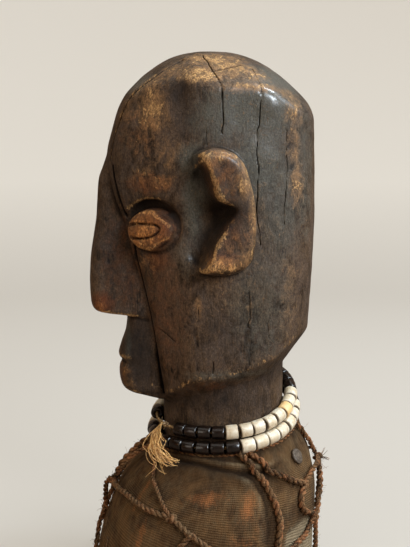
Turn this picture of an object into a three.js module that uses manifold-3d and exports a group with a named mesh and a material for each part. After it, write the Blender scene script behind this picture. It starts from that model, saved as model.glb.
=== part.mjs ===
// A carved wooden power figure, as a bust cut flat below the shoulders: a wedge-faced head on a
// round neck, a cloth wrap gathered under two strands of beads, and a net of knotted cord.
// Millimetres, +Z up, the face looks along -Y and the figure's left side is +X.
// The origin is on the flat underside, below the middle of the head.
import * as THREE from 'three';
import { mergeVertices } from 'three/addons/utils/BufferGeometryUtils.js';
import Module from 'manifold-3d';

const wasm = await Module();
wasm.setup();

const GAP = 0.35; // clear space between two pieces that touch
const DEG = Math.PI / 180;

// The block that the head is carved from
const CROWN_Z = 269.6;
const CROWN_Y = 5;
const CROWN_FALL = { front: [0.00098, 2.62], back: [0.0029, 2.35], side: [0.041, 1.7] }; // scale, power
const HEAD_HALF_WIDTH = 39.5;
const JAW_TAPER = 2.5;
const JAW_TAPER_BELOW = 155;
const BACK_Y = 53;
const BACK_MIDDLE_Z = 198;
const BACK_BOW = 0.00055;
const NAPE_CORNER = 29;
const FOREHEAD = { y: -50.3, z: 219.6, lean: 0.276, roundness: 28 };
const CREASE = { x: 13, y: -24.5, z: 98.3, slope: 0.13, bow: 0.00095 };
const CHEEK_EDGE = { x: 38, y: -12 };
const JAW_FLOOR = { z: 100, rise: 0.26, at: 5, flare: 0.9, radius: 31, squeeze: 1.12, nape: 28, napeRise: 0.28 };

// The neck and the trunk inside the wrap
const NECK = { y: 9.9, radius: 31.3, sides: 22, bottom: 60, top: 130 };

// The nose and the muzzle, as front edges given from top to bottom: height, front
const NOSE_EDGE = [[221, -49.4], [213, -51.9], [206, -54.2], [196, -55], [187, -55.6], [177, -57.2], [166, -58.7], [154, -59.2]];
const NOSE = { topHalf: 4.5, bottomHalf: 8.5, topRoot: 9, bottomRoot: 12.2, tipZ: 143.5, tipY: -58.8 };
const NOSE_FLOOR = { frontY: -57, frontZ: 139.3, backZ: 134.6 };
const MUZZLE_EDGE = [[138, -40.2], [129, -41.2], [122, -43.7], [116.5, -45.1], [113.5, -43.4], [110.5, -44.6],
  [105.5, -44.7], [100.5, -43.4], [97.8, -40.6]];
const MUZZLE = { topHalf: 8, mouthHalf: 10.5, root: 12.6 };
const CHIN_FLOOR = [[95.9, -34.6], [92.2, -21]];
const ROOT_DEPTH = 8; // how far the nose and the muzzle run back into the block

// Eyes, ears and the hollows round them
const EYE = { x: 21.2, y: -30.2, z: 181, long: 14, tall: 11, proud: 6.6, turn: 50 };
const SOCKET = { lift: 3, long: 18, tall: 15.5, deep: 6.5 };
const LID = { long: 13, tall: 4.4, deep: 2.2, ball: 0.8, ballSunk: 0.9 };
const EAR = { x: 51.5, root: 34, bevel: 2 };
const EAR_OUTLINE = [[-11, 217], [-5, 219.3], [2, 218.6], [8, 215], [12, 208.5], [14.8, 199], [16.4, 188],
  [16.2, 177], [14.3, 168], [9.5, 162.8], [2, 160.6], [-8, 161.6]];
const EAR_HOLLOW = { x: 50, y: -10, z: 189.5, long: 14, wide: 16.5, tall: 24 };

// The cloth wrap: rings from the hem to the collar, each as front y, front z, back y, back z, half width
const WRAP_RINGS = [
  [-58.3, 0, 56, 0, 60.5],
  [-55.8, 18, 56.3, 18, 60],
  [-50.6, 34, 56.6, 36, 58],
  [-45.6, 45, 56.6, 51, 54.5],
  [-38, 54.5, 54.4, 63, 49],
  [-31.4, 61, 52, 71, 43.8],
  [-27, 66.8, 50, 78.5, 38.8],
  [-24.8, 70, 46.9, 84, 34],
  [-23.6, 72.5, 43.9, 87.5, 33.3],
];
const COLLAR = WRAP_RINGS.length - 1;
const WRAP_THICKNESS = 1.6;
const WRAP_COLUMNS = 28;
const WRAP_ROLL = { left: -5.5, corner: -2 }; // how the collar dips at the left side and the left back corner
const FOLDS_END = [4.6, 6.3]; // the folds fade out between these levels
const WRAP_FOLDS = [ // angle, width and height of each long fold, all of them fading out at the collar
  [2, 13, 2.2], [20, 9, -1.8], [-52, 11, 1.4], [-78, 12, 1.6], [62, 14, 1.8], [110, 14, 1.6], [150, 13, 2],
  [192, 14, 1.8], [232, 13, 1.6],
];

// The necklace: two tilted rings of short cylinders
const BEAD = { radius: 3.35, hole: 1.2, sides: 6 };
const STRING_RADIUS = 0.7;
const STRAND = { y: 10.1, roll: -6.8, pitch: 7.9, wave: -2.4 }; // the slant that both strands share
const UPPER = { name: 'upper', radius: 35.3, z: 89.6, length: 5.7, step: 6.7, start: -53.5 };
const LOWER = { name: 'lower', radius: 37, z: 82.3, length: 6.1, step: 7.2, start: -65.8 };
UPPER.runs = [['black', 4], ['white', 8], ['black', 4], ['far', 10], ['black', 1], ['white', 1], ['black', 1]];
LOWER.runs = [['black', 6], ['white', 7], ['black', 4], ['far', 12], ['black', 2]];
UPPER.knot = { angle: -69, radius: 2.4 };
LOWER.knot = { angle: -72.2, radius: 1.9 };
const STRING_STEPS = 30;

// The net: angle round the wrap, level from hem (0) to collar (8), and lift off the cloth
const CORD_RADIUS = 1.45;
const CORD_SIDES = 4;
const CORD_LIFT = 2.5;
const KNOT_RADIUS = 2.7;
const HANG = 6; // lift of the cords that hang clear at the front
const NECK_CORD = 5.9; // level of the cord that the net hangs from
const NET_KNOTS = {
  front: [-98, 2.95, 4], leftFront: [-22, 2.36, CORD_LIFT], join: [-34, 2.9, CORD_LIFT],
  leftLow: [24.7, 1.4, 3], backLeft: [46.5, 3.4, CORD_LIFT], back: [77, 3.6, 4.5],
  backLow: [61, 1.95, 3], farBack: [128, 3.3, CORD_LIFT], farBackLow: [104, 1.5, CORD_LIFT],
  far: [180, 3, CORD_LIFT], farLow: [154, 1.4, CORD_LIFT], farFront: [228, 3.2, CORD_LIFT],
  farFrontLow: [205, 1.35, CORD_LIFT], frontLow: [252, 1.5, CORD_LIFT],
};
const NET_CORDS = [
  [[-98, NECK_CORD], [-97, 4.9, HANG], 'front'],
  [[-84, NECK_CORD], [-90, 4.6, HANG - 1], 'front'],
  ['front', [-73, 3.17], [-50, 3.02], 'join', 'leftFront'],
  [[-72, NECK_CORD], [-62, 4.6], [-49, 3.8], 'join'],
  ['leftFront', [-6, 1.85, 3.2], 'leftLow'],
  [[-2, NECK_CORD, 3.2], [6, 5.2, 4.2], [15.6, 4.15], [22.8, 3.1], [25.8, 2.3], 'leftLow'],
  [[4, NECK_CORD], [20, 4.75, 3.6], [36, 3.8], 'backLeft'],
  ['backLeft', [41, 3, CORD_LIFT + 0.4], [45, 2.5, CORD_LIFT + 0.4], 'backLow'],
  [[62, NECK_CORD], [72, 4.9], 'back'],
  ['backLeft', [60, 3.75, 3.5], 'back'],
  ['back', [69, 2.8, 3.5], 'backLow'],
  ['back', [84, 2.6, 5], [84, 1.7, 4], 'farBackLow'],
  ['backLow', [48, 1.65, 3], 'leftLow'],
  [[112, NECK_CORD], [120, 4.6], 'farBack', [115, 2.3], 'farBackLow'],
  ['farBack', [140, 2.2], 'farLow'],
  [[160, NECK_CORD], [171, 4.5], 'far', [166, 2.1], 'farLow'],
  ['far', [193, 2.1], 'farFrontLow'],
  [[215, NECK_CORD], [222, 4.5], 'farFront', [216, 2.2], 'farFrontLow'],
  ['farFront', [242, 2.3], 'frontLow'],
  ['front', [-102, 2.6, HANG], [-106, 2, 4], 'frontLow'],
  ['frontLow', [262, 0.9], [268, 0.1]],
  ['frontLow', [240, 0.7], [232, 0.1]],
  ['leftFront', [-32, 1.3], [-40, 0.1]],
  ['leftLow', [12, 0.7], [2, 0.1]],
  ['leftLow', [34, 0.7], [42, 0.1]],
  ['backLow', [66, 1.1], [70, 0.1]],
  ['farBackLow', [96, 0.7], [90, 0.1]],
  ['farLow', [146, 0.7], [138, 0.1]],
  ['farFrontLow', [198, 0.7], [192, 0.1]],
];
const CORD_STEP = 18;
const NET_FLOOR = 0.6; // the net is cut off this high above the underside

// Tuft, stud and nail
const TUFT = [ // across, along, height and radius
  [13.5, -27.2, 81.5, 1.3], [23.3, -28, 77, 1.8], [31, -28.8, 71.5, 3], [36.8, -28.7, 65, 3.6], [39.5, -27.6, 59, 3],
];
const STUD = { angle: 46.7, level: 4.85, radius: 3.8, height: 1.1, shank: 1, depth: 6 };
const NAIL = { angle: 83, level: 3.95, radius: 0.9, head: 1.5, headHeight: 1, proud: 2.6, depth: 8 };

const FINISH = {
  wood: { color: 0x3d2d22, roughness: 0.42, metalness: 0 },
  cloth: { color: 0x4d4133, roughness: 0.95, metalness: 0 },
  cord: { color: 0x5d4330, roughness: 0.95, metalness: 0 },
  string: { color: 0xa98b52, roughness: 0.9, metalness: 0 },
  raffia: { color: 0xc18a3c, roughness: 0.85, metalness: 0 },
  black: { color: 0x17120f, roughness: 0.3, metalness: 0 },
  white: { color: 0xd9d3c0, roughness: 0.45, metalness: 0 },
  stud: { color: 0x6c6963, roughness: 0.5, metalness: 0.7 },
  iron: { color: 0x2a2420, roughness: 0.7, metalness: 0.6 },
};

const figure = new THREE.Group();

// Small helpers

function add(name, geometry, finish) {
  const mesh = new THREE.Mesh(geometry, new THREE.MeshStandardMaterial(FINISH[finish]));
  mesh.name = name;
  figure.add(mesh);
  return mesh;
}

function toSolid(geometry) {
  const bare = geometry.clone();
  for (const name of Object.keys(bare.attributes)) if (name !== 'position') bare.deleteAttribute(name);
  const merged = mergeVertices(bare, 1e-4);
  return new wasm.Manifold(new wasm.Mesh({
    numProp: 3,
    vertProperties: new Float32Array(merged.attributes.position.array),
    triVerts: new Uint32Array(merged.index.array),
  }));
}

function toGeometry(solid) {
  const mesh = solid.getMesh();
  const geometry = new THREE.BufferGeometry();
  geometry.setAttribute('position', new THREE.BufferAttribute(mesh.vertProperties, 3));
  geometry.setIndex(new THREE.BufferAttribute(mesh.triVerts, 1));
  return geometry;
}

function joined(solids) {
  return solids.reduce((sum, solid) => sum.add(solid));
}

// Rows of points, each row a closed outline, skinned from first to last. A capped skin gets a flat
// end at each end, and one that is not capped runs on from its last row to its first.
function skin(rows, capped = true) {
  const across = rows[0].length;
  const points = rows.flat();
  const faces = [];
  const strips = capped ? rows.length - 1 : rows.length;
  for (let r = 0; r < strips; r += 1) {
    const next = (r + 1) % rows.length;
    for (let c = 0; c < across; c += 1) {
      const d = (c + 1) % across;
      const a = r * across + c;
      const b = r * across + d;
      faces.push(a, b, next * across + d, a, next * across + d, next * across + c);
    }
  }
  if (capped) {
    for (const [row, turned] of [[0, true], [rows.length - 1, false]]) {
      const middle = new THREE.Vector3();
      for (const point of rows[row]) middle.addScaledVector(point, 1 / across);
      points.push(middle);
      for (let c = 0; c < across; c += 1) {
        const a = row * across + c;
        const b = row * across + (c + 1) % across;
        faces.push(points.length - 1, turned ? b : a, turned ? a : b);
      }
    }
  }
  const geometry = new THREE.BufferGeometry().setFromPoints(points);
  geometry.setIndex(faces);
  return volume(points, faces) < 0 ? turnedOut(geometry) : geometry;
}

function volume(points, faces) {
  let sum = 0;
  for (let i = 0; i < faces.length; i += 3) {
    const [a, b, c] = [points[faces[i]], points[faces[i + 1]], points[faces[i + 2]]];
    sum += a.dot(new THREE.Vector3().crossVectors(b, c)) / 6;
  }
  return sum;
}

function turnedOut(geometry) {
  const index = geometry.index.array;
  for (let i = 0; i < index.length; i += 3) [index[i], index[i + 1]] = [index[i + 1], index[i]];
  return geometry;
}

// A smooth curve through values given at 0, 1, 2 and so on
function through(values, at) {
  const last = values.length - 1;
  const i = Math.min(Math.max(Math.floor(at), 0), last - 1);
  const t = at - i;
  const b = values[i];
  const c = values[i + 1];
  const before = i > 0 ? values[i - 1] : 2 * b - c;
  const after = i + 2 <= last ? values[i + 2] : 2 * c - b;
  return b + 0.5 * t * (c - before + t * (2 * before - 5 * b + 4 * c - after + t * (3 * (b - c) + after - before)));
}

// The larger of two values, with the corner between them rounded over a width
function roundedMax(a, b, width) {
  const h = Math.max(width - Math.abs(a - b), 0) / width;
  return Math.max(a, b) + h * h * width / 4;
}

// The head block: how far a point lies outside it, as a carver would cut it, plane by plane

function creaseY(z) {
  const t = z - CREASE.z;
  return CREASE.y - CREASE.slope * t - CREASE.bow * t * t;
}

function headBlock(x, y, z) {
  const across = Math.abs(x);
  const jaw = Math.min(Math.max((JAW_TAPER_BELOW - z) / 50, 0), 1);
  const side = across - HEAD_HALF_WIDTH + JAW_TAPER * jaw;
  const back = y - BACK_Y + BACK_BOW * (z - BACK_MIDDLE_Z) ** 2;
  let form = roundedMax(side, back, NAPE_CORNER);

  const crease = creaseY(z);
  const run = CHEEK_EDGE.x - CREASE.x;
  const depth = CHEEK_EDGE.y - crease;
  const cheek = ((across - CREASE.x) * depth - (y - crease) * run) / Math.hypot(run, depth);
  form = roundedMax(form, cheek, 6);
  form = roundedMax(form, crease - y, 5);

  const bulge = across / FOREHEAD.roundness;
  const forehead = FOREHEAD.y + FOREHEAD.lean * (z - FOREHEAD.z) + bulge * across / 2 - y;
  form = roundedMax(form, forehead / Math.hypot(1, FOREHEAD.lean, bulge), 7);

  const along = Math.abs(y - CROWN_Y);
  const [scale, power] = y > CROWN_Y ? CROWN_FALL.back : CROWN_FALL.front;
  const [sideScale, sidePower] = CROWN_FALL.side;
  const top = CROWN_Z - scale * along ** power - sideScale * across ** sidePower;
  const steepness = Math.hypot(1, scale * power * along ** (power - 1),
    sideScale * sidePower * across ** (sidePower - 1));
  form = roundedMax(form, (z - top) / steepness, 5);

  const reach = Math.hypot(across * JAW_FLOOR.squeeze, y - NECK.y);
  const floor = JAW_FLOOR.z + JAW_FLOOR.rise * (y - JAW_FLOOR.at) + JAW_FLOOR.flare * (reach - JAW_FLOOR.radius)
    + JAW_FLOOR.napeRise * Math.max(y - JAW_FLOOR.nape, 0);
  return roundedMax(form, (floor - z) / Math.hypot(1, JAW_FLOOR.flare), 4);
}

// Rays go out from a line inside the head: level along its length, fanned at both ends
function headSolid() {
  const columns = 24;
  const low = 127;
  const high = 236;
  const directions = [];
  for (let i = 1; i <= 3; i += 1) directions.push([low, -90 + i * 23]);
  for (let i = 0; i <= 6; i += 1) directions.push([low + (high - low) * i / 6, 0]);
  for (let i = 1; i <= 5; i += 1) directions.push([high, i * 15.5]);
  const rows = directions.map(([z, rise]) => {
    const row = [];
    for (let c = 0; c < columns; c += 1) {
      const turn = 2 * Math.PI * (c + 0.5) / columns;
      const ray = new THREE.Vector3(Math.cos(turn) * Math.cos(rise * DEG), Math.sin(turn) * Math.cos(rise * DEG),
        Math.sin(rise * DEG));
      row.push(surfaceAlong(new THREE.Vector3(0, CROWN_Y, z), ray));
    }
    return row;
  });
  return toSolid(skin(rows));
}

function surfaceAlong(from, ray) {
  let near = 0;
  let far = 110;
  for (let i = 0; i < 30; i += 1) {
    const middle = (near + far) / 2;
    const point = from.clone().addScaledVector(ray, middle);
    if (headBlock(point.x, point.y, point.z) < 0) near = middle;
    else far = middle;
  }
  return from.clone().addScaledVector(ray, near);
}

// One level of the nose or the muzzle: a wedge with a blunt front
function wedgeRow(z, front, half, root, backZ = z) {
  const back = creaseY(Math.max(z, CREASE.z)) + ROOT_DEPTH;
  const shoulder = front + 0.28 * half;
  return [
    new THREE.Vector3(root, back, backZ),
    new THREE.Vector3(half, shoulder, z),
    new THREE.Vector3(0.5 * half, front, z),
    new THREE.Vector3(-0.5 * half, front, z),
    new THREE.Vector3(-half, shoulder, z),
    new THREE.Vector3(-root, back, backZ),
  ];
}

function noseSolid() {
  const rows = NOSE_EDGE.map(([z, front], i) => {
    const t = i / (NOSE_EDGE.length - 1);
    return wedgeRow(z, front, THREE.MathUtils.lerp(NOSE.topHalf, NOSE.bottomHalf, t),
      THREE.MathUtils.lerp(NOSE.topRoot, NOSE.bottomRoot, t));
  });
  rows.push(wedgeRow(NOSE.tipZ, NOSE.tipY, NOSE.bottomHalf, NOSE.bottomRoot));
  rows.push(wedgeRow(NOSE_FLOOR.frontZ, NOSE_FLOOR.frontY, NOSE.bottomHalf - 1, NOSE.bottomRoot, NOSE_FLOOR.backZ));
  return toSolid(skin(rows));
}

function muzzleSolid() {
  const rows = MUZZLE_EDGE.map(([z, front], i) => wedgeRow(z, front,
    THREE.MathUtils.lerp(MUZZLE.topHalf, MUZZLE.mouthHalf, Math.min(i / 3, 1)), MUZZLE.root));
  for (const [z, front] of CHIN_FLOOR) rows.push(wedgeRow(z, front, MUZZLE.mouthHalf, MUZZLE.root, z - 3));
  return toSolid(skin(rows));
}

function ellipsoid(across, along, tall, segments = 11, rings = 6) {
  const ball = new THREE.SphereGeometry(1, segments, rings);
  ball.rotateX(Math.PI / 2);
  return ball.scale(across, along, tall);
}

// Places a form that was made facing +X on the left (1) or right (-1) cheek
function onCheek(geometry, side, lift = 0) {
  geometry.rotateZ(-(90 - EYE.turn) * DEG * side + (side < 0 ? Math.PI : 0));
  geometry.translate(side * EYE.x, EYE.y, EYE.z + lift);
  return toSolid(geometry);
}

function lens(long, tall, deep) {
  const outline = new THREE.Shape();
  outline.moveTo(-long, 0);
  outline.quadraticCurveTo(0, 2 * tall, long, 0);
  outline.quadraticCurveTo(0, -2 * tall, -long, 0);
  const prism = new THREE.ExtrudeGeometry(outline, { depth: deep, bevelEnabled: false, curveSegments: 4 });
  return prism.rotateX(Math.PI / 2).rotateZ(Math.PI / 2);
}

function eyeSolid(side) {
  const lids = onCheek(ellipsoid(EYE.proud, EYE.long, EYE.tall), side);
  const slit = onCheek(lens(LID.long, LID.tall, 6).translate(EYE.proud - LID.deep, 0, 0), side);
  const ball = onCheek(ellipsoid(EYE.proud - LID.ballSunk, LID.long * LID.ball, LID.tall * LID.ball, 8, 4), side);
  return lids.subtract(slit).add(ball);
}

function earSolid(side) {
  const outline = new THREE.Shape(EAR_OUTLINE.map(([y, z]) => new THREE.Vector2(y, z)));
  const slab = new THREE.ExtrudeGeometry(outline, {
    depth: EAR.x - EAR.root - EAR.bevel, bevelEnabled: true, bevelThickness: EAR.bevel, bevelSize: EAR.bevel,
    bevelOffset: -EAR.bevel, bevelSegments: 1,
  });
  slab.rotateX(Math.PI / 2).rotateZ(Math.PI / 2).translate(EAR.root, 0, 0);
  if (side < 0) slab.rotateZ(Math.PI).scale(1, -1, 1);
  return toSolid(side < 0 ? turnedIn(slab) : slab);
}

// A mirrored form has its faces turned round again
function turnedIn(geometry) {
  const solid = mergeVertices(geometry);
  return turnedOut(solid);
}

// The wrap and the trunk under it

function ringAt(level) {
  const [frontY, frontZ, backY, backZ, half] = [0, 1, 2, 3, 4].map((i) => through(WRAP_RINGS.map((r) => r[i]), level));
  return { y: (frontY + backY) / 2, deep: (backY - frontY) / 2, z: (frontZ + backZ) / 2, tilt: (backZ - frontZ) / 2, half };
}

function foldHeight(level, turn) {
  let height = 0;
  for (const [angle, width, size] of WRAP_FOLDS) {
    const off = THREE.MathUtils.euclideanModulo(turn / DEG - angle + 180, 360) - 180;
    height += size * Math.exp(-((off / width) ** 2));
  }
  return height * (1 - THREE.MathUtils.smoothstep(level, FOLDS_END[0], FOLDS_END[1]));
}

function wrapPoint(level, turn, lift = 0) {
  const ring = ringAt(level);
  const roll = (WRAP_ROLL.left * Math.cos(turn) + WRAP_ROLL.corner * Math.sin(2 * turn)) * (level / COLLAR) ** 2;
  const point = new THREE.Vector3(ring.half * Math.cos(turn), ring.y + ring.deep * Math.sin(turn),
    ring.z + ring.tilt * Math.sin(turn) + roll);
  return lift === 0 ? point : point.addScaledVector(wrapNormal(level, turn), lift);
}

function wrapNormal(level, turn) {
  const step = 0.01;
  const round = wrapPoint(level, turn + step).sub(wrapPoint(level, turn - step));
  const up = wrapPoint(Math.min(level + step, COLLAR), turn).sub(wrapPoint(Math.max(level - step, 0), turn));
  return round.cross(up).normalize();
}

function wrapRow(level, lift, withFolds, columns = WRAP_COLUMNS) {
  const row = [];
  for (let c = 0; c < columns; c += 1) {
    const turn = 2 * Math.PI * c / columns;
    const point = wrapPoint(level, turn, lift + (withFolds ? foldHeight(level, turn) : 0));
    if (level === 0) point.z = 0;
    row.push(point);
  }
  return row;
}

function trunkSolid() {
  const rows = [];
  for (let level = 0; level <= COLLAR; level += 1) rows.push(wrapRow(level, -WRAP_THICKNESS - GAP, false, WRAP_COLUMNS / 2));
  return toSolid(skin(rows));
}

function neckSolid() {
  const height = NECK.top - NECK.bottom;
  const post = new THREE.CylinderGeometry(NECK.radius, NECK.radius, height, NECK.sides);
  return toSolid(post.rotateX(Math.PI / 2).translate(0, NECK.y, NECK.bottom + height / 2));
}

// A pin driven square into the wrap, from a depth inside it to a height above it
function pinInWrap({ angle, level }, radius, from, to, sides = 10) {
  const pin = new THREE.CylinderGeometry(radius, radius, to - from, sides).translate(0, (from + to) / 2, 0);
  const foot = wrapPoint(level, angle * DEG, foldHeight(level, angle * DEG) + 1e-6);
  const turn = new THREE.Quaternion().setFromUnitVectors(new THREE.Vector3(0, 1, 0), wrapNormal(level, angle * DEG));
  return toSolid(pin.applyQuaternion(turn).translate(foot.x, foot.y, foot.z));
}

function carvedFigure() {
  let head = joined([headSolid(), earSolid(1), earSolid(-1)]);
  for (const side of [1, -1]) {
    const hollow = ellipsoid(EAR_HOLLOW.long, EAR_HOLLOW.wide, EAR_HOLLOW.tall, 12, 8);
    head = head.subtract(toSolid(hollow.translate(side * EAR_HOLLOW.x, EAR_HOLLOW.y, EAR_HOLLOW.z)));
    head = head.subtract(onCheek(ellipsoid(SOCKET.deep, SOCKET.long, SOCKET.tall), side, SOCKET.lift));
    head = head.add(eyeSolid(side));
  }
  const whole = joined([head, noseSolid(), muzzleSolid(), neckSolid(), trunkSolid()]);
  return whole.subtract(holes());
}

function holes() {
  return joined([
    pinInWrap(STUD, STUD.shank + GAP, -STUD.depth - GAP, 8),
    pinInWrap(NAIL, NAIL.radius + GAP, -NAIL.depth - GAP, 8),
  ]);
}

function clothWrap() {
  const rows = [];
  for (let level = 0; level <= COLLAR; level += 1) rows.push(wrapRow(level, 0, true));
  for (let level = COLLAR; level >= 0; level -= 1) rows.push(wrapRow(level, -WRAP_THICKNESS, false));
  return toSolid(skin(rows, false)).subtract(holes());
}

// The necklace

function strandPoint(strand, degrees) {
  const c = Math.cos(degrees * DEG);
  const s = Math.sin(degrees * DEG);
  const slant = STRAND.roll * c + STRAND.pitch * s + STRAND.wave * Math.sin(2 * degrees * DEG);
  return new THREE.Vector3(strand.radius * c, STRAND.y + strand.radius * s, strand.z + slant);
}

function strandLine(strand, from, to, steps) {
  const points = [];
  for (let i = 0; i <= steps; i += 1) points.push(strandPoint(strand, from + (to - from) * i / steps));
  return points;
}

function beadGeometry(length) {
  const half = length / 2;
  const profile = [[BEAD.hole, -half], [BEAD.radius, -half], [BEAD.radius, half], [BEAD.hole, half], [BEAD.hole, -half]];
  return new THREE.LatheGeometry(profile.map(([r, h]) => new THREE.Vector2(r, h)), BEAD.sides);
}

// The far beads as one string of short barrels that touch, with one hole through them all
function farBeads(strand, from, count, degreesEach) {
  const sides = 5;
  const outer = [];
  const inner = [];
  const at = (degrees, radius) => {
    const middle = strandPoint(strand, degrees);
    const along = strandPoint(strand, degrees + 1).sub(strandPoint(strand, degrees - 1)).normalize();
    const out = new THREE.Vector3(Math.cos(degrees * DEG), Math.sin(degrees * DEG), 0);
    const up = new THREE.Vector3().crossVectors(out, along).normalize();
    const row = [];
    for (let i = 0; i < sides; i += 1) {
      const turn = 2 * Math.PI * i / sides;
      const point = middle.clone().addScaledVector(out, radius * Math.cos(turn));
      row.push(point.addScaledVector(up, radius * Math.sin(turn)));
    }
    return row;
  };
  for (let i = 0; i < count; i += 1) {
    const start = from + i * degreesEach;
    outer.push(at(start + 0.1 * degreesEach, BEAD.radius - 0.7), at(start + 0.5 * degreesEach, BEAD.radius + 0.2));
    inner.unshift(at(start + degreesEach / 2, BEAD.hole + 0.3));
  }
  outer.push(at(from + (count - 0.1) * degreesEach, BEAD.radius - 0.7));
  inner.unshift(at(from + (count - 0.1) * degreesEach, BEAD.hole + 0.3));
  inner.push(at(from + 0.1 * degreesEach, BEAD.hole + 0.3));
  return skin([...outer, ...inner], false);
}

function threadBeads(strand) {
  const each = strand.step / strand.radius / DEG;
  const geometry = beadGeometry(strand.length);
  let degrees = strand.start;
  let number = 1;
  for (const [colour, count] of strand.runs) {
    if (colour === 'far') {
      add(`beads_${strand.name}_far`, farBeads(strand, degrees, count, each), 'black');
      degrees += count * each;
      continue;
    }
    for (let i = 0; i < count; i += 1) {
      const name = `bead_${strand.name}_${String(number).padStart(2, '0')}`;
      const bead = add(name, geometry.clone(), colour);
      bead.position.copy(strandPoint(strand, degrees + each / 2));
      const along = strandPoint(strand, degrees + each).sub(strandPoint(strand, degrees)).normalize();
      bead.quaternion.setFromUnitVectors(new THREE.Vector3(0, 1, 0), along);
      number += 1;
      degrees += each;
    }
  }
}

function polygon(radius, sides) {
  const points = [];
  for (let i = 0; i < sides; i += 1) {
    const turn = 2 * Math.PI * i / sides;
    points.push(new THREE.Vector2(radius * Math.cos(turn), radius * Math.sin(turn)));
  }
  return new THREE.Shape(points);
}

function tube(points, radius, sides, steps) {
  const extrudePath = new THREE.CatmullRomCurve3(points, false, 'centripetal');
  return new THREE.ExtrudeGeometry(polygon(radius, sides), { steps, bevelEnabled: false, extrudePath });
}

function lump(centre, radius) {
  return toSolid(new THREE.IcosahedronGeometry(radius, 0).translate(centre.x, centre.y, centre.z));
}

function beadString(strand) {
  const { angle, radius } = strand.knot;
  const line = strandLine(strand, angle + 1, angle + 359, 72);
  return toGeometry(toSolid(tube(line, STRING_RADIUS, 4, STRING_STEPS))
    .add(lump(strandPoint(strand, angle), radius)));
}

// The net

// A stop on a cord's way is a knot's name, or else an angle, a level and a lift
function netStop(stop) {
  const [angle, level, lift = CORD_LIFT] = typeof stop === 'string' ? NET_KNOTS[stop] : stop;
  return [angle, level, lift];
}

function netPoint([angle, level, lift]) {
  return wrapPoint(level, angle * DEG, lift + foldHeight(level, angle * DEG));
}

// A cord keeps to the cloth between its stops, so the way is worked out in angle, level and lift
function cordLine(route) {
  const stops = route.map(netStop);
  for (let i = 1; i < stops.length; i += 1) {
    const jump = Math.round((stops[i][0] - stops[i - 1][0]) / 360);
    stops[i] = [stops[i][0] - jump * 360, stops[i][1], stops[i][2]];
  }
  const line = [];
  const last = (stops.length - 1) * 8;
  for (let i = 0; i <= last; i += 1) {
    line.push(netPoint([0, 1, 2].map((k) => through(stops.map((stop) => stop[k]), i / 8))));
  }
  return line;
}

function cord(line) {
  const length = new THREE.CatmullRomCurve3(line).getLength();
  return toSolid(tube(line, CORD_RADIUS, CORD_SIDES, Math.max(3, Math.round(length / CORD_STEP))));
}

function netKnot(centre) {
  return toSolid(new THREE.OctahedronGeometry(KNOT_RADIUS, 0).translate(centre.x, centre.y, centre.z));
}

function cordNet() {
  const collarLine = [];
  for (let degrees = 0; degrees <= 370; degrees += 10) collarLine.push(netPoint([degrees, NECK_CORD, CORD_LIFT]));
  const solids = [cord(collarLine.slice(0, 20)), cord(collarLine.slice(18))];
  for (const route of NET_CORDS) solids.push(cord(cordLine(route)));
  for (const knot of Object.keys(NET_KNOTS)) solids.push(netKnot(netPoint(netStop(knot))));
  const floor = new THREE.BoxGeometry(200, 200, 40).translate(0, 0, NET_FLOOR - 20);
  return toGeometry(joined(solids).subtract(toSolid(floor)));
}

function raffiaTuft() {
  const rows = TUFT.map(([x, y, z, radius]) => {
    const out = new THREE.Vector3(x, y - STRAND.y, 0).normalize();
    const side = new THREE.Vector3(-out.y, out.x, 0);
    const row = [];
    for (let i = 0; i < 6; i += 1) {
      const turn = 2 * Math.PI * i / 6;
      const point = new THREE.Vector3(x, y, z).addScaledVector(side, radius * Math.cos(turn));
      row.push(point.addScaledVector(out, 0.6 * radius * Math.sin(turn)));
    }
    return row;
  });
  return skin(rows);
}

function stud() {
  const shank = pinInWrap(STUD, STUD.shank, -STUD.depth, GAP + 0.2, 8);
  return toGeometry(shank.add(pinInWrap(STUD, STUD.radius, GAP, GAP + STUD.height, 14)));
}

function nail() {
  const shank = pinInWrap(NAIL, NAIL.radius, -NAIL.depth, NAIL.proud - 0.2, 8);
  return toGeometry(shank.add(pinInWrap(NAIL, NAIL.head, NAIL.proud - NAIL.headHeight, NAIL.proud, 8)));
}

add('carved_figure', toGeometry(carvedFigure()), 'wood');
add('cloth_wrap', toGeometry(clothWrap()), 'cloth');
add('cord_net', cordNet(), 'cord');
add('bead_string_upper', beadString(UPPER), 'string');
add('bead_string_lower', beadString(LOWER), 'string');
threadBeads(UPPER);
threadBeads(LOWER);
add('raffia_tuft', raffiaTuft(), 'raffia');
add('shoulder_stud', stud(), 'stud');
add('shoulder_nail', nail(), 'iron');

export default figure;
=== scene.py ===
"""A carved wooden power figure, as a bust cut flat below the shoulders.

The face looks along -Y and the figure's left side is +X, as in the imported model. The shapes are
worked out in millimetres, and become metres where a mesh is made.
"""

import math

import bpy
import numpy as np
from bpy.props import FloatProperty, FloatVectorProperty, IntProperty, PointerProperty
from mathutils import Matrix, Vector
from mathutils.bvhtree import BVHTree


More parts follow.
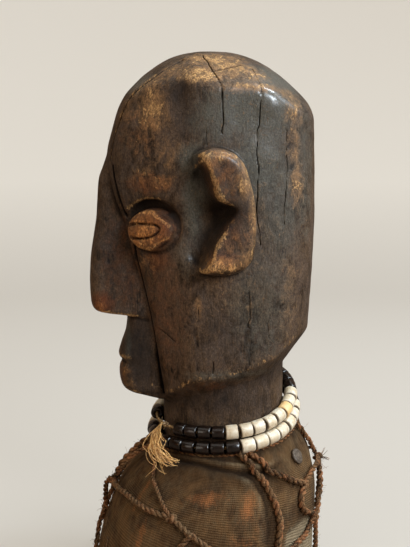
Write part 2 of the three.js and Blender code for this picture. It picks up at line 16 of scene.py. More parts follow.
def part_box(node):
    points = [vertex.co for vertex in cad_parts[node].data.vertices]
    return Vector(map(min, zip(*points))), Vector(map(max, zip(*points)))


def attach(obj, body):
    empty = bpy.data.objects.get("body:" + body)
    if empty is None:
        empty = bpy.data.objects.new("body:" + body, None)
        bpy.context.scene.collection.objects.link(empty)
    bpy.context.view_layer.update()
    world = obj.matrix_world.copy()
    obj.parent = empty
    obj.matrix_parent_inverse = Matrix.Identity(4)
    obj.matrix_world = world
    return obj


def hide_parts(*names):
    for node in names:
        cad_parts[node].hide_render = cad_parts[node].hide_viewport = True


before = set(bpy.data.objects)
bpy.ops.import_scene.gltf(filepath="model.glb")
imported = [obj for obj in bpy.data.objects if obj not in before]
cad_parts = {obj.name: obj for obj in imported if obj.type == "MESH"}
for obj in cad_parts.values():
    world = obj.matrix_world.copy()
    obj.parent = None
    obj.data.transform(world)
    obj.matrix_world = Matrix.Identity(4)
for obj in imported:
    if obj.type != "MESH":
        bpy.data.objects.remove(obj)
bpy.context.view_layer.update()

bl_info = {
    "name": "Carved power figure",
    "version": (1, 0, 0),
    "blender": (4, 5, 0),
    "location": "3D View > Sidebar > Figure",
    "description": "Builds the finished pieces of a carved figure round its packed model",
    "category": "Add Mesh",
}

MM = 0.001
BODY = "root"

# The head block, as its carver would cut it
CROWN_Z = 269.6
CROWN_Y = 5.0
CROWN_FALL = {"front": (0.00098, 2.62), "back": (0.0029, 2.35), "side": (0.041, 1.7)}
HEAD_HALF_WIDTH = 39.5
JAW_TAPER = 2.5
JAW_TAPER_BELOW = 155.0
BACK_Y = 53.0
BACK_MIDDLE_Z = 198.0
BACK_BOW = 0.00055
NAPE_CORNER = 29.0
FOREHEAD = {"y": -50.3, "z": 219.6, "lean": 0.276, "roundness": 28.0}
CREASE = {"x": 13.0, "y": -24.5, "z": 98.3, "slope": 0.13, "bow": 0.00095}
CHEEK_EDGE = {"x": 38.0, "y": -12.0}
JAW_FLOOR = {"z": 100.0, "rise": 0.26, "at": 5.0, "flare": 0.9, "radius": 31.0, "squeeze": 1.12,
             "nape": 28.0, "nape_rise": 0.28}
ROUNDING = {"cheek": 7.0, "crease": 4.0, "forehead": 8.0, "crown": 2.6, "jaw": 1.0}
NECK = {"y": 9.9, "radius": 31.3}

# The nose and the muzzle: height and front, from the top down
NOSE_EDGE = [(221, -49.4), (213, -51.9), (206, -54.2), (196, -55), (187, -55.6), (177, -57.2), (166, -58.7),
             (154, -59.2), (143.5, -58.8), (139.3, -57)]
NOSE = {"top": 221.0, "bottom": 139.3, "top_half": 4.5, "bottom_half": 8.5,
        "top_root": 9.0, "bottom_root": 12.2}
NOSE_FLOOR = {"front_y": -57.0, "front_z": 139.3, "back_z": 134.6}
MUZZLE_EDGE = [(140, -39.9), (138, -40.2), (129, -41.2), (122, -43.7), (116.5, -45.1), (113.5, -43.4),
               (110.5, -44.6), (105.5, -44.7), (100.5, -43.4), (97.8, -40.6), (95.9, -34.6), (94, -28),
               (92.2, -21)]
MUZZLE = {"top_half": 8.0, "mouth_half": 10.5, "root": 12.6, "mouth_z": 113.5}
ROOT_DEPTH = 8.0

# Eyes, ears and the hollows round them
EYE = {"x": 21.8, "y": -29.5, "z": 181.0, "long": 13.1, "tall": 9.9, "face": 6.3, "turn": 50.0, "bevel": 1.5}
EYE_GROOVES = [[(-11.6, 2.1), (-7.0, 3.0), (0.0, 3.0), (5.0, 2.6), (7.4, 1.1)],
               [(-9.4, -3.8), (-5.2, -4.1), (0.3, -3.6), (4.9, -2.0), (7.0, 0.0)]]
EYE_SLIT = {"middle": -2.8, "up": -0.5, "long": 10.4, "tall": 3.2, "rise": 0.5}
SOCKET = {"lift": 1.5, "long": 15.6, "tall": 13.4, "deep": 4.4}
EAR = {"x": 51.5, "root": 34.0}
EAR_OUTLINE = [(-11, 217), (-5, 219.3), (2, 218.6), (8, 215), (12, 208.5), (14.8, 199), (16.4, 188),
               (16.2, 177), (14.3, 168), (9.5, 162.8), (2, 160.6), (-7, 161.3), (-10, 165), (-10.5, 190),
               (-11.5, 212)]
EAR_CUP = [(6.3, 191.5), (-2.0, 196), (-5.2, 204), (-9.5, 212), (-18, 209), (-30, 202), (-38, 190),
           (-30, 176), (-18, 166), (-8.5, 163), (-3.2, 175), (2.8, 184.5)]
EAR_DISH = {"x": 52.0, "y": -13.0, "z": 190.0, "long": 17.5, "wide": 27.0, "tall": 32.0}

# The cloth wrap: rings from the hem to the collar, each as front y, front z, back y, back z, half width
WRAP_RINGS = np.array([
    (-58.3, 0, 56, 0, 60.5), (-55.8, 18, 56.3, 18, 60), (-50.6, 34, 56.6, 36, 58),
    (-45.6, 45, 56.6, 51, 54.5), (-38, 54.5, 54.4, 63, 49), (-31.4, 61, 52, 71, 43.8),
    (-27, 66.8, 50, 78.5, 38.8), (-24.8, 70, 46.9, 84, 34), (-23.6, 72.5, 43.9, 87.5, 33.3)])
COLLAR = len(WRAP_RINGS) - 1
WRAP_THICKNESS = 1.6
TRUNK_INSET = 1.95
WRAP_ROLL = {"left": -5.5, "corner": -2.0}
FOLDS_END = (4.6, 6.3)
WRAP_FOLDS = [  # angle, width and height of each long fold
    (2, 15, 1.5), (20, 9, -1.0), (-52, 11, 1.4), (-78, 12, 1.6), (62, 14, 1.8), (110, 14, 1.6), (150, 13, 2),
    (192, 14, 1.8), (232, 13, 1.6)]

STAINS = [  # angle, level, width, height and strength of the rust
    (-20, 3.75, 12, 0.42, 0.95), (-5, 3.6, 13, 0.9, 0.55), (6, 3.3, 7, 1.1, 0.95), (11, 2.4, 8, 1.0, 0.7),
    (-80, 4.4, 5, 0.5, 0.45), (-61, 3.4, 2.8, 1.2, 0.95), (-49, 1.9, 2.8, 1.2, 0.95), (2, 2.0, 10, 0.6, 0.6),
    (-48, 2.6, 12, 1.3, 0.4), (-20, 1.4, 9, 0.5, 0.5), (62, 4.4, 10, 0.4, 0.3), (140, 3, 20, 1.0, 0.6),
    (200, 2.2, 16, 1.2, 0.6), (250, 3.5, 12, 0.8, 0.5)]

# The necklace: two tilted rings of short cylinders
STRAND = {"y": 10.1, "roll": -6.8, "pitch": 7.9, "wave": -2.4}
UPPER = {"name": "upper", "radius": 35.3, "z": 89.6, "length": 5.7, "step": 6.7, "start": -53.5,
         "knot": -69.0, "runs": [("black", 4), ("white", 8), ("black", 4), ("far", 10), ("black", 1),
                                 ("white", 1), ("black", 1)]}
LOWER = {"name": "lower", "radius": 37.0, "z": 82.3, "length": 6.1, "step": 7.2, "start": -65.8,
         "knot": -72.2,
         "runs": [("black", 6), ("white", 7), ("black", 4), ("far", 12), ("black", 2)]}

# The net: angle round the wrap, level from hem to collar, and lift off the cloth
LYING = 1.7
HANG = 6.0
NECK_CORD = 6.5
NECK_CORD_LIFT = 0.2
NET_KNOTS = {
    "front": (-98, 2.95, 4), "left_front": (-22, 2.36, LYING), "join": (-34, 2.9, LYING),
    "left_low": (24.7, 1.4, LYING),
    "back_left": (46.5, 3.4, LYING), "back": (77, 3.6, 4), "back_low": (61, 1.95, LYING),
    "far_back": (128, 3.3, LYING), "far_back_low": (104, 1.5, LYING), "far": (180, 3, LYING),
    "far_low": (154, 1.4, LYING), "far_front": (228, 3.2, LYING), "far_front_low": (205, 1.35, LYING),
    "front_low": (252, 1.5, LYING)}
NET_CORDS = [  # radius of the cord, then its stops
    (1.9, (-98, NECK_CORD), (-97, 4.9, HANG), "front"),
    (1.25, (-84, NECK_CORD), (-90, 4.6, HANG - 1), "front"),
    (1.45, "front", (-73, 3.17), (-50, 3.02), "join", "left_front"),
    (0.95, (-72, NECK_CORD), (-62, 4.6), (-49, 3.8), "join"),
    (1.45, "left_front", (-6, 1.85), "left_low"),
    (1.7, (-2, NECK_CORD, 2.2), (6, 5.2, 2.6), (15.6, 4.15), (22.8, 3.1), (25.8, 2.3), "left_low"),
    (1.6, (4, NECK_CORD), (20, 4.75, 2.4), (36, 3.8), "back_left"),
    (1.6, "back_left", (41, 3), (45, 2.5), "back_low"),
    (1.3, (62, NECK_CORD), (72, 4.9), "back"),
    (1.3, "back_left", (60, 3.75, 3), "back"),
    (1.5, "back", (69, 2.8, 3), "back_low"),
    (1.35, "back", (84, 2.6, 4.6), (84, 1.7, 3.6), "far_back_low"),
    (1.4, "back_low", (48, 1.65), "left_low"),
    (1.4, (112, NECK_CORD), (120, 4.6), "far_back", (115, 2.3), "far_back_low"),
    (1.4, "far_back", (140, 2.2), "far_low"),
    (1.4, (160, NECK_CORD), (171, 4.5), "far", (166, 2.1), "far_low"),
    (1.4, "far", (193, 2.1), "far_front_low"),
    (1.4, (215, NECK_CORD), (222, 4.5), "far_front", (216, 2.2), "far_front_low"),
    (1.4, "far_front", (242, 2.3), "front_low"),
    (1.4, "front", (-102, 2.6, HANG), (-106, 2, 4), "front_low"),
    (1.4, "front_low", (262, 0.9), (268, 0.1)),
    (1.4, "front_low", (240, 0.7), (232, 0.1)),
    (1.5, "left_front", (-32, 1.3), (-40, 0.1)),
    (1.4, "left_low", (12, 0.7), (2, 0.1)),
    (1.4, "left_low", (34, 0.7), (42, 0.1)),
    (1.4, "back_low", (66, 1.1), (70, 0.1)),
    (1.4, "far_back_low", (96, 0.7), (90, 0.1)),
    (1.4, "far_low", (146, 0.7), (138, 0.1)),
    (1.4, "far_front_low", (198, 0.7), (192, 0.1)),
]
NET_FLOOR = 0.8

TUFT = [(14.5, -24.5, 83.5), (24, -28.6, 81), (30.5, -30.2, 77), (34.5, -28.8, 73.2), (36.6, -25.6, 70.4),
        (37.8, -21.8, 68.4)]
STUD = {"angle": 46.7, "level": 4.85, "sides": 32, "radius": 3.8, "height": 1.2, "lift": 0.1}
NAIL = {"angle": 83.0, "level": 3.95, "sides": 16, "radius": 1.55, "height": 1.1, "lift": 2.4}
SHANK = {"radius": 0.9, "length": 6.0}

# The photograph's size and focal length in pixels, and where it was taken from
PHOTO = {"width": 410, "height": 547, "focal": 800}
VIEW = {"azimuth": 80, "elevation": 6, "distance": 417, "target": (0, 0, 157)}

# The stage, in metres: how far below the figure its floor lies, its curve, the curve's steps, its wall
COVE = {"below": 0.0005, "curve": 0.9, "steps": 12, "wall": 1.4}

# Drying cracks, as breadth, depth and a way. Two numbers are a place in the photograph, in pixels
# across and down, and three are across, along and height on the figure.
CRACKS = {
    "crown, long": (0.62, 1.9, [(203, 55), (204, 58), (209, 66), (218, 79), (222, 86), (223, 105),
                                (39.4, 1.5, 226.5)]),
    "crown, branch": (0.9, 2.2, [(213, 72), (226, 69), (240, 66)]),
    "crown, behind": (0.6, 1.5, [(252, 70), (257, 78), (261, 88), (260, 110)]),
    "side, long": (0.55, 1.7, [(260, 110), (258, 135), (257, 160), (39.5, 18.4, 193), (39.5, 19.3, 174)]),
    "side, behind": (0.5, 1.2, [(288, 130), (287, 160), (286, 190), (38.5, 32, 184)]),
    "cheek, upright": (0.5, 1.1, [(39, -10.1, 154), (38.5, -10.9, 135), (38, -11.1, 114.5)]),
    "brow": (0.5, 1.1, [(135, 177), (143, 174), (150, 173)]),
    "forehead": (1.4, 3.4, [(182, 60), (165, 70), (145, 86), (131, 100), (121, 120), (115, 140), (112, 158),
                            (11, -49.2, 210), (13.2, -48, 201)]),
    "above the ear": (0.5, 1.0, [(207, 128), (207, 145)]),
    "side, low": (0.5, 1.3, [(250, 290), (250, 310), (250, 328)]),
    "side, lowest": (0.4, 0.8, [(269, 315), (269, 338)]),
    "cheek, scratch": (0.95, 1.5, [(157.5, 326), (166, 333), (175, 342)]),
    "jaw": (0.6, 1.5, [(212.5, 362), (213, 372), (213.5, 382)]),
    "right, crown": (0.45, 0.8, [(-39, -4, 250), (-39, -3, 205)]),
    "right, long": (0.7, 1.8, [(-38, 16, 252), (-39, 20, 230), (-39, 19, 178)]),
    "right, low": (0.5, 1.2, [(-39, 2, 150), (-38, 4, 112)]),
    "back, long": (0.7, 1.8, [(6, 52, 238), (8, 53, 210), (5, 53, 170)]),
    "back, short": (0.5, 1.2, [(-16, 51, 190), (-14, 51, 150)]),
    "right, forehead": (0.5, 1.4, [(-12, -47.5, 214.9), (-11, -45, 228), (-8, -38, 246)]),
}
DENTS = [  # across, along, height, half length, half height, depth
    (34, -18, 245, 4, 9, 1.3), (35, -14, 232, 6, 12, 0.8), (39, 10, 232, 9, 12, 0.5),
    (38, 28, 215, 8, 20, 0.5), (38, 25, 240, 8, 8, -0.9), (30, -8, 255, 8, 5, -0.7),
    (28, 12, 257, 8, 6, -0.6), (39, 8, 140, 14, 12, 0.6), (36, 2, 118, 12, 6, -0.5),
]
CREASE_GROOVE = (0.75, 1.9)


# Numbers and smooth forms

def through(values, at):
    """A smooth curve through values that are given at 0, 1, 2 and so on."""
    values = np.asarray(values, float)
    last = len(values) - 1
    i = np.clip(np.floor(at).astype(int), 0, last - 1)
    t = (at - i).reshape(at.shape + (1,) * (values.ndim - 1))
    b, c = values[i], values[i + 1]
    first = (i > 0).reshape(t.shape)
    inner = (i + 2 <= last).reshape(t.shape)
    before = np.where(first, values[np.maximum(i - 1, 0)], 2 * b - c)
    after = np.where(inner, values[np.minimum(i + 2, last)], 2 * c - b)
    bend = 2 * before - 5 * b + 4 * c - after + t * (3 * (b - c) + after - before)
    return b + 0.5 * t * (c - before + t * bend)


def profile(edge, heights):
    """How far forward a profile stands at each height, on a smooth curve through its points."""
    edge = np.array(edge, float)
    line = through(edge, np.linspace(0, len(edge) - 1, 260))
    order = np.argsort(line[:, 0])
    return np.interp(heights, line[order, 0], line[order, 1])


def rounded_max(a, b, width):
    """The larger of two values, with the corner between them rounded over a width."""
    h = np.maximum(width - np.abs(a - b), 0) / width
    return np.maximum(a, b) + h * h * width / 4


def rounded_min(a, b, width):
    """The smaller of two values, with the corner between them filled over a width."""
    return -rounded_max(-a, -b, width)


def smooth_step(low, high, value):
    """0 below low, 1 above high, and an even rise between."""
    t = np.clip((value - low) / (high - low), 0, 1)
    return t * t * (3 - 2 * t)


def lumps(points, size, seed=0):
    """Even noise from -1 to 1, in lumps of about that size."""
    scaled = np.asarray(points, float) / size
    cell = np.floor(scaled).astype(np.int64)
    part = scaled - cell
    part = part * part * (3 - 2 * part)
    total = np.zeros(len(scaled))
    for corner in np.ndindex(*(2,) * scaled.shape[1]):
        at = cell + corner
        mixed = np.full(len(scaled), seed * 668265263 + 374761393, np.int64)
        for axis, prime in zip(range(scaled.shape[1]), (73856093, 19349663, 83492791)):
            mixed ^= at[:, axis] * prime
        mixed = (mixed ^ (mixed >> 13)) * 1274126177
        mixed = (mixed ^ (mixed >> 16)) & 0xFFFF
        total += np.prod(np.where(corner, part, 1 - part), axis=1) * (mixed / 32767.5 - 1)
    return total


def to_line(points, line):
    """How far each point is from a line of points."""
    line = np.asarray(line, float)
    best = np.full(len(points), 1e9)
    for start, end in zip(line[:-1], line[1:]):
        way = end - start
        along = np.clip((points - start) @ way / (way @ way), 0, 1)
        best = np.minimum(best, np.linalg.norm(points - start - along[:, None] * way, axis=1))
    return best


def to_outline(outline, a, b):
    """How far points of a plane lie outside a closed outline, and less than nothing inside it."""
    best = np.full(a.shape, 1e9)
    inside = np.zeros(a.shape, bool)
    for p, q in zip(outline, np.roll(outline, -1, axis=0)):
        edge = q - p
        along = np.clip(((a - p[0]) * edge[0] + (b - p[1]) * edge[1]) / (edge @ edge), 0, 1)
        best = np.minimum(best, np.hypot(a - p[0] - along * edge[0], b - p[1] - along * edge[1]))
        rise = edge[1] if edge[1] else 1e-9
        inside ^= ((p[1] > b) != (q[1] > b)) & (a < p[0] + (b - p[1]) * edge[0] / rise)
    return np.where(inside, -best, best)


def smooth_ring(points, parts=4):
    """A closed outline with its corners eased by a smooth curve."""
    points = np.array(points, float)
    count = len(points)
    at = np.arange(0, count, 1 / parts) + 2
    return through(points[np.arange(-2, count + 3) % count], at)


# The carving, as how far a point lies outside the wood

def crease_y(z):
    rise = z - CREASE["z"]
    return CREASE["y"] - CREASE["slope"] * rise - CREASE["bow"] * rise * rise


def jaw_floor(across, y):
    """The height of the sloping underside of the jaw."""
    reach = np.hypot(across * JAW_FLOOR["squeeze"], y - NECK["y"])
    return (JAW_FLOOR["z"] + JAW_FLOOR["rise"] * (y - JAW_FLOOR["at"])
            + JAW_FLOOR["flare"] * (reach - JAW_FLOOR["radius"])
            + JAW_FLOOR["nape_rise"] * np.maximum(y - JAW_FLOOR["nape"], 0))


def head_block(across, y, z):
    """The block of the head, plane by plane."""
    jaw = np.clip((JAW_TAPER_BELOW - z) / 50, 0, 1)
    side = across - HEAD_HALF_WIDTH + JAW_TAPER * jaw
    back = y - BACK_Y + BACK_BOW * (z - BACK_MIDDLE_Z) ** 2
    form = rounded_max(side, back, NAPE_CORNER)

    crease = crease_y(z)
    run = CHEEK_EDGE["x"] - CREASE["x"]
    depth = CHEEK_EDGE["y"] - crease
    cheek = ((across - CREASE["x"]) * depth - (y - crease) * run) / np.hypot(run, depth)
    form = rounded_max(form, cheek, ROUNDING["cheek"])
    form = rounded_max(form, crease - y, ROUNDING["crease"])

    bulge = across / FOREHEAD["roundness"]
    forehead = FOREHEAD["y"] + FOREHEAD["lean"] * (z - FOREHEAD["z"]) + bulge * across / 2 - y
    forehead = forehead / np.sqrt(1 + FOREHEAD["lean"] ** 2 + bulge ** 2)
    form = rounded_max(form, forehead, ROUNDING["forehead"])

    along = np.abs(y - CROWN_Y)
    front = y <= CROWN_Y
    scale = np.where(front, CROWN_FALL["front"][0], CROWN_FALL["back"][0])
    power = np.where(front, CROWN_FALL["front"][1], CROWN_FALL["back"][1])
    side_scale, side_power = CROWN_FALL["side"]
    top = CROWN_Z - scale * along ** power - side_scale * across ** side_power
    steepness = np.sqrt(1 + (scale * power * along ** (power - 1)) ** 2
                        + (side_scale * side_power * across ** (side_power - 1)) ** 2)
    form = rounded_max(form, (z - top) / steepness, ROUNDING["crown"])

    return rounded_max(form, (jaw_floor(across, y) - z) / math.hypot(1, JAW_FLOOR["flare"]), ROUNDING["jaw"])


def wedge(across, y, z, front, half, root):
    """A wedge with a blunt front, such as the nose."""
    back = crease_y(np.maximum(z, CREASE["z"])) + ROOT_DEPTH
    shoulder = front + 0.28 * half
    bevel = (0.28 * (across - 0.5 * half) - 0.5 * (y - front)) / math.hypot(0.28, 0.5)
    deep, flare = back - shoulder, root - half
    side = ((across - half) * deep - (y - shoulder) * flare) / np.hypot(deep, flare)
    return rounded_max(rounded_max(rounded_max(front - y, bevel, 2.0), side, 3.0), across - root - 2, 1.0)


def nose(across, y, z):
    t = np.clip((NOSE["top"] - z) / (NOSE["top"] - NOSE["bottom"]), 0, 1)
    half = NOSE["top_half"] + (NOSE["bottom_half"] - NOSE["top_half"]) * t
    root = NOSE["top_root"] + (NOSE["bottom_root"] - NOSE["top_root"]) * t
    front = profile(NOSE_EDGE, z) + 0.6 * np.maximum(z - NOSE["top"], 0)
    sides = wedge(across, y, z, front, half, root)
    depth = crease_y(NOSE["bottom"]) + ROOT_DEPTH - NOSE_FLOOR["front_y"]
    fall = (NOSE_FLOOR["back_z"] - NOSE_FLOOR["front_z"]) / depth
    floor = NOSE_FLOOR["front_z"] + fall * (y - NOSE_FLOOR["front_y"])
    return rounded_max(rounded_max(sides, floor - z, 1.6), z - NOSE["top"] - 8, 1.6)


def muzzle(across, y, z):
    t = np.clip((138 - z) / 21.5, 0, 1)
    half = MUZZLE["top_half"] + (MUZZLE["mouth_half"] - MUZZLE["top_half"]) * t
    form = wedge(across, y, z, profile(MUZZLE_EDGE, z), half, MUZZLE["root"])
    return rounded_max(form, z - MUZZLE_EDGE[0][0] - 4, 1.0)


def on_cheek(across, y, z):
    """Along, up and out from the middle of the eye, square to the cheek."""
    turn = math.radians(90 - EYE["turn"])
    dx, dy = across - EYE["x"], y - EYE["y"]
    return dx * math.sin(turn) + dy * math.cos(turn), z - EYE["z"], dx * math.cos(turn) - dy * math.sin(turn)


def eye(along, up, out):
    """A flat-faced oval disc, bevelled to a point behind, with a groove along each lid."""
    a, b = along / EYE["long"], up / EYE["tall"]
    wall = (np.hypot(a, b) - 1) * EYE["tall"]
    face = out - EYE["face"] + 0.010 * along ** 2 + 0.012 * up ** 2
    face = face + EYE["bevel"] * EYE["tall"] * np.maximum(eye_slant(along, up), 0)
    swell = ((along - EYE_SLIT["middle"]) / EYE_SLIT["long"]) ** 2
    swell = swell + ((up - EYE_SLIT["up"]) / EYE_SLIT["tall"]) ** 2
    face = face - EYE_SLIT["rise"] * np.maximum(1 - swell, 0)
    disc = rounded_max(wall + 0.2 * (out - 2), face, 1.8)
    return disc + 1.5 * lid_grooves(along, up, 0.55)


def eye_slant(along, up):
    """Above nought on the two bevels that meet in the eye's point, and nought on their ridges."""
    return np.abs(up) / EYE["tall"] + 0.85 * along / EYE["long"] - 1.08


def lid_grooves(along, up, breadth):
    """1 in the middle of the lines along the lids, and nothing away from them."""
    flat = np.stack([along, up, np.zeros_like(up)], axis=1)
    total = np.zeros(len(flat))
    for groove in EYE_GROOVES:
        line = through(np.column_stack([groove, np.zeros(len(groove))]), np.linspace(0, len(groove) - 1, 17))
        total = np.maximum(total, np.exp(-(to_line(flat, line) / breadth) ** 2))
    return total


def ear(across, y, z, outline):
    """A thick crescent whose face leans in towards its hollow."""
    inward = to_outline(outline, y, z)
    top = EAR["x"] - 0.16 * np.clip(-inward - 4, 0, 14)
    return rounded_max(inward + 0.1 * (across - 44), across - top, 5.5)


def carving(points):
    """How far points lie outside the carved wood, before its cracks and dents."""
    across, y, z = np.abs(points[:, 0]), points[:, 1], points[:, 2]
    form = head_block(across, y, z)
    dish = np.sqrt(((across - EAR_DISH["x"]) / EAR_DISH["long"]) ** 2
                   + ((y - EAR_DISH["y"]) / EAR_DISH["wide"]) ** 2
                   + ((z - EAR_DISH["z"]) / EAR_DISH["tall"]) ** 2)
    form = rounded_max(form, (1 - dish) * EAR_DISH["long"], 5.0)

    near = (y < 0) & (z > 155) & (z < 210)
    along, up, out = on_cheek(across[near], y[near], z[near])
    socket = np.sqrt((along / SOCKET["long"]) ** 2 + ((up - SOCKET["lift"]) / SOCKET["tall"]) ** 2
                     + (out / SOCKET["deep"]) ** 2)
    local = rounded_max(form[near], (1 - socket) * SOCKET["deep"], 2.6)
    form[near] = rounded_min(local, eye(along, up, out), 0.6)

    near = (across > 26) & (y > -34) & (y < 24) & (z > 150) & (z < 228)
    outline, cup_line = smooth_ring(EAR_OUTLINE), smooth_ring(EAR_CUP)
    a, b, c = across[near], y[near], z[near]
    local = rounded_min(form[near], ear(a, b, c, outline), 1.2)
    cup = to_outline(cup_line, b, c) + 0.16 * (EAR["x"] - a)
    cup = rounded_max(cup, EAR["root"] - 0.5 - a, 4.0)
    form[near] = rounded_max(local, -cup, 2.0)

    near = (across < 24) & (y < 0)
    a, b, c = across[near], y[near], z[near]
    local = rounded_min(form[near], nose(a, b, c), 0.8)
    form[near] = rounded_min(local, muzzle(a, b, c), 0.8)

    neck = np.hypot(across, y - NECK["y"]) - NECK["radius"]
    neck = np.maximum(neck, z - 125)
    return rounded_min(form, neck, 1.6)


def tool_marks(points):
    """The unevenness that the adze and the knife left, in millimetres of depth."""
    across, y, z = np.abs(points[:, 0]), points[:, 1], points[:, 2]
    marks = 0.55 * lumps(points * (1, 1, 0.6), 19, 1) + 0.34 * lumps(points * (1, 1, 0.55), 8.5, 2)
    marks += 0.14 * lumps(points * (1, 1, 0.6), 3.6, 3) + 0.06 * lumps(points, 1.9, 6)
    for x, along, height, wide, tall, depth in DENTS:
        away = ((across - x) / 9) ** 2 + ((y - along) / wide) ** 2 + ((z - height) / tall) ** 2
        marks += 2 * depth * np.exp(-away)
    crown = smooth_step(238, 250, z)
    chops = np.abs(lumps(points, 24, 4))
    marks += crown * (0.4 - 0.9 * chops)
    marks += 0.28 * smooth_step(0.25, 0.6, lumps(points * (1, 1, 0.35), 5.5, 5)) * (1 - crown)
    neck = smooth_step(104, 98, z) * (across < 34)
    return marks * (1 - 0.5 * neck)


def crease_line():
    """The line where the side of the nose meets the cheek."""
    line = np.array([(CREASE["x"] + 0.4, crease_y(z) - 0.3, z) for z in np.linspace(212, 97, 24)])
    return onto(carving, line, 12, 2.0)


def view_axes():
    """The photograph's directions: back towards the camera, right and up."""
    turn, lift = math.radians(VIEW["azimuth"]), math.radians(VIEW["elevation"])
    back = Vector((math.sin(turn) * math.cos(lift), -math.cos(turn) * math.cos(lift), math.sin(lift)))
    right = Vector((math.cos(turn), math.sin(turn), 0))
    return back, right, back.cross(right)


def crack_lines():
    """Each crack's breadth, depth and way, with its places in the photograph put on the carved figure."""
    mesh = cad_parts["carved_figure"].data
    figure = BVHTree.FromPolygons([point.co / MM for point in mesh.vertices],
                                  [tuple(face.vertices) for face in mesh.polygons])
    back, right, up = view_axes()
    camera = Vector(VIEW["target"]) + back * VIEW["distance"]

    def on_figure(place):
        if len(place) == 3:
            return place
        across, down = place[0] - PHOTO["width"] / 2, place[1] - PHOTO["height"] / 2
        return figure.ray_cast(camera, (right * across - up * down - back * PHOTO["focal"]).normalized())[0]

    return [(breadth, depth, np.array([on_figure(place) for place in way]))
            for breadth, depth, way in CRACKS.values()]


def crack_depth(points, lines):
    """How deep the cracks and the two long creases cut in at each point."""
    deep = np.zeros(len(points))
    mirrored = points * (-1, 1, 1)
    upright = np.column_stack([points[:, 2], points[:, 2] * 0])
    wander = 0.6 * lumps(upright, 11, 11) + 0.4 * lumps(upright, 3.4, 12)
    strayed = points + np.column_stack([wander * 0, wander, wander * 0.4])
    for breadth, depth, line in lines:
        opened = 0.28 * breadth * (1 + 0.55 * lumps(upright, 6, 13))
        deep = np.maximum(deep, 0.6 * depth * np.exp(-(to_line(strayed, line) / opened) ** 2))
    breadth, depth = CREASE_GROOVE
    crease = crease_line()
    for side in (points, mirrored):
        deep = np.maximum(deep, depth * np.exp(-(to_line(side, crease) / breadth) ** 2))
    return deep


def slope_of(form, points):
    """Which way a form rises fastest at each point, and how steeply."""
    step = 0.02
    columns = []
    for axis in np.eye(3):
        columns.append((form(points + step * axis) - form(points - step * axis)) / (2 * step))
    return np.column_stack(columns)


def onto(form, points, rounds=5, reach=1.2):
    """Moves points to where the form is nought, a little at a time."""
    for _ in range(rounds):
        slope = slope_of(form, points)
        steep = np.maximum((slope ** 2).sum(axis=1), 0.25)
        step = np.clip(form(points) / steep, -reach, reach)
        points = points - step[:, None] * slope
    return points


# The wrap

def ring_at(level):
    """Middle y, depth, middle z, tilt and half width of the wrap's ring at a level."""
    front_y, front_z, back_y, back_z, half = through(WRAP_RINGS, level).T
    middle_y, deep = (front_y + back_y) / 2, (back_y - front_y) / 2
    return middle_y, deep, (front_z + back_z) / 2, (back_z - front_z) / 2, half


def wrap_flat(level, degrees):
    y, deep, z, tilt, half = ring_at(level)
    turn = np.radians(degrees)
    roll = (WRAP_ROLL["left"] * np.cos(turn) + WRAP_ROLL["corner"] * np.sin(2 * turn)) * (level / COLLAR) ** 2
    return np.column_stack([half * np.cos(turn), y + deep * np.sin(turn), z + tilt * np.sin(turn) + roll])


def wrap_normal(level, degrees):
    round_it = wrap_flat(level, degrees + 0.5) - wrap_flat(level, degrees - 0.5)
    above, below = np.minimum(level + 0.01, COLLAR), np.maximum(level - 0.01, 0)
    up = wrap_flat(above, degrees) - wrap_flat(below, degrees)
    normal = np.cross(round_it, up)
    return normal / np.linalg.norm(normal, axis=1)[:, None]


def off_angle(degrees, middle):
    """How far an angle is from another, the short way round."""
    return (degrees - middle + 180) % 360 - 180


def fold_height(level, degrees):
    height = np.zeros(len(level))
    for angle, width, size in WRAP_FOLDS:
        height += size * np.exp(-(off_angle(degrees, angle) / width) ** 2)
    return height * (1 - smooth_step(*FOLDS_END, level))


def wrap_point(level, degrees, lift):
    level, degrees = np.broadcast_arrays(np.asarray(level, float), np.asarray(degrees, float))
    lift = np.broadcast_to(lift, level.shape)
    return wrap_flat(level, degrees) + lift[:, None] * wrap_normal(level, degrees)


def cloth_relief(level, degrees):
    """The smaller folds, gathers, rolls and worn edges of the cloth, above its long folds."""
    turn = np.radians(degrees)
    spot = np.column_stack([np.cos(turn) * 55, np.sin(turn) * 55, level * 11])
    relief = 0.55 * lumps(spot * (1, 1, 0.55), 16, 21) + 0.28 * lumps(spot, 7, 22) + 0.1 * lumps(spot, 3, 23)

    below = smooth_step(2.6, 6.2, level)
    gathers = np.sin(degrees * 0.62 + 2.2 * lumps(spot[:, :2], 24, 24)) * 0.5
    gathers += np.sin(degrees * 1.7 + 2.5 * lumps(spot[:, :2], 12, 25)) * 0.3
    off_side = off_angle(degrees, -20)
    side = smooth_step(-95, -60, off_side) * (1 - smooth_step(60, 100, off_side))
    relief += 0.9 * below * (1 - smooth_step(6.4, 7.4, level)) * gathers * (1 - 0.8 * side)

    band = smooth_step(6.4, 6.8, level)
    relief += 0.32 * band * np.sin(degrees * 3.4 + 1.5 * lumps(spot[:, :2], 9, 26))

    front, shown = collar_roll(degrees)
    relief += shown * 1.9 * np.exp(-((level - front) / 0.2) ** 2)
    relief -= shown * 1.5 * np.exp(-((level - front + 0.4) / 0.16) ** 2)
    relief += shown * 0.8 * np.exp(-((level - front + 0.95) / 0.3) ** 2)

    tuck = np.interp(level, [1.6, 2.32, 2.93, 3.59, 4.42, 5.2], [19, 18.8, 16.9, 14.1, 6.6, -4])
    held = smooth_step(1.2, 2.4, level) * (1 - smooth_step(4.6, 5.4, level))
    relief += held * 0.7 * np.exp(-(off_angle(degrees, tuck - 4.5) / 4.0) ** 2)
    relief -= held * 0.9 * np.exp(-(off_angle(degrees, tuck + 1.2) / 2.4) ** 2)
    return relief - 1.0 * under_layer(level, degrees)


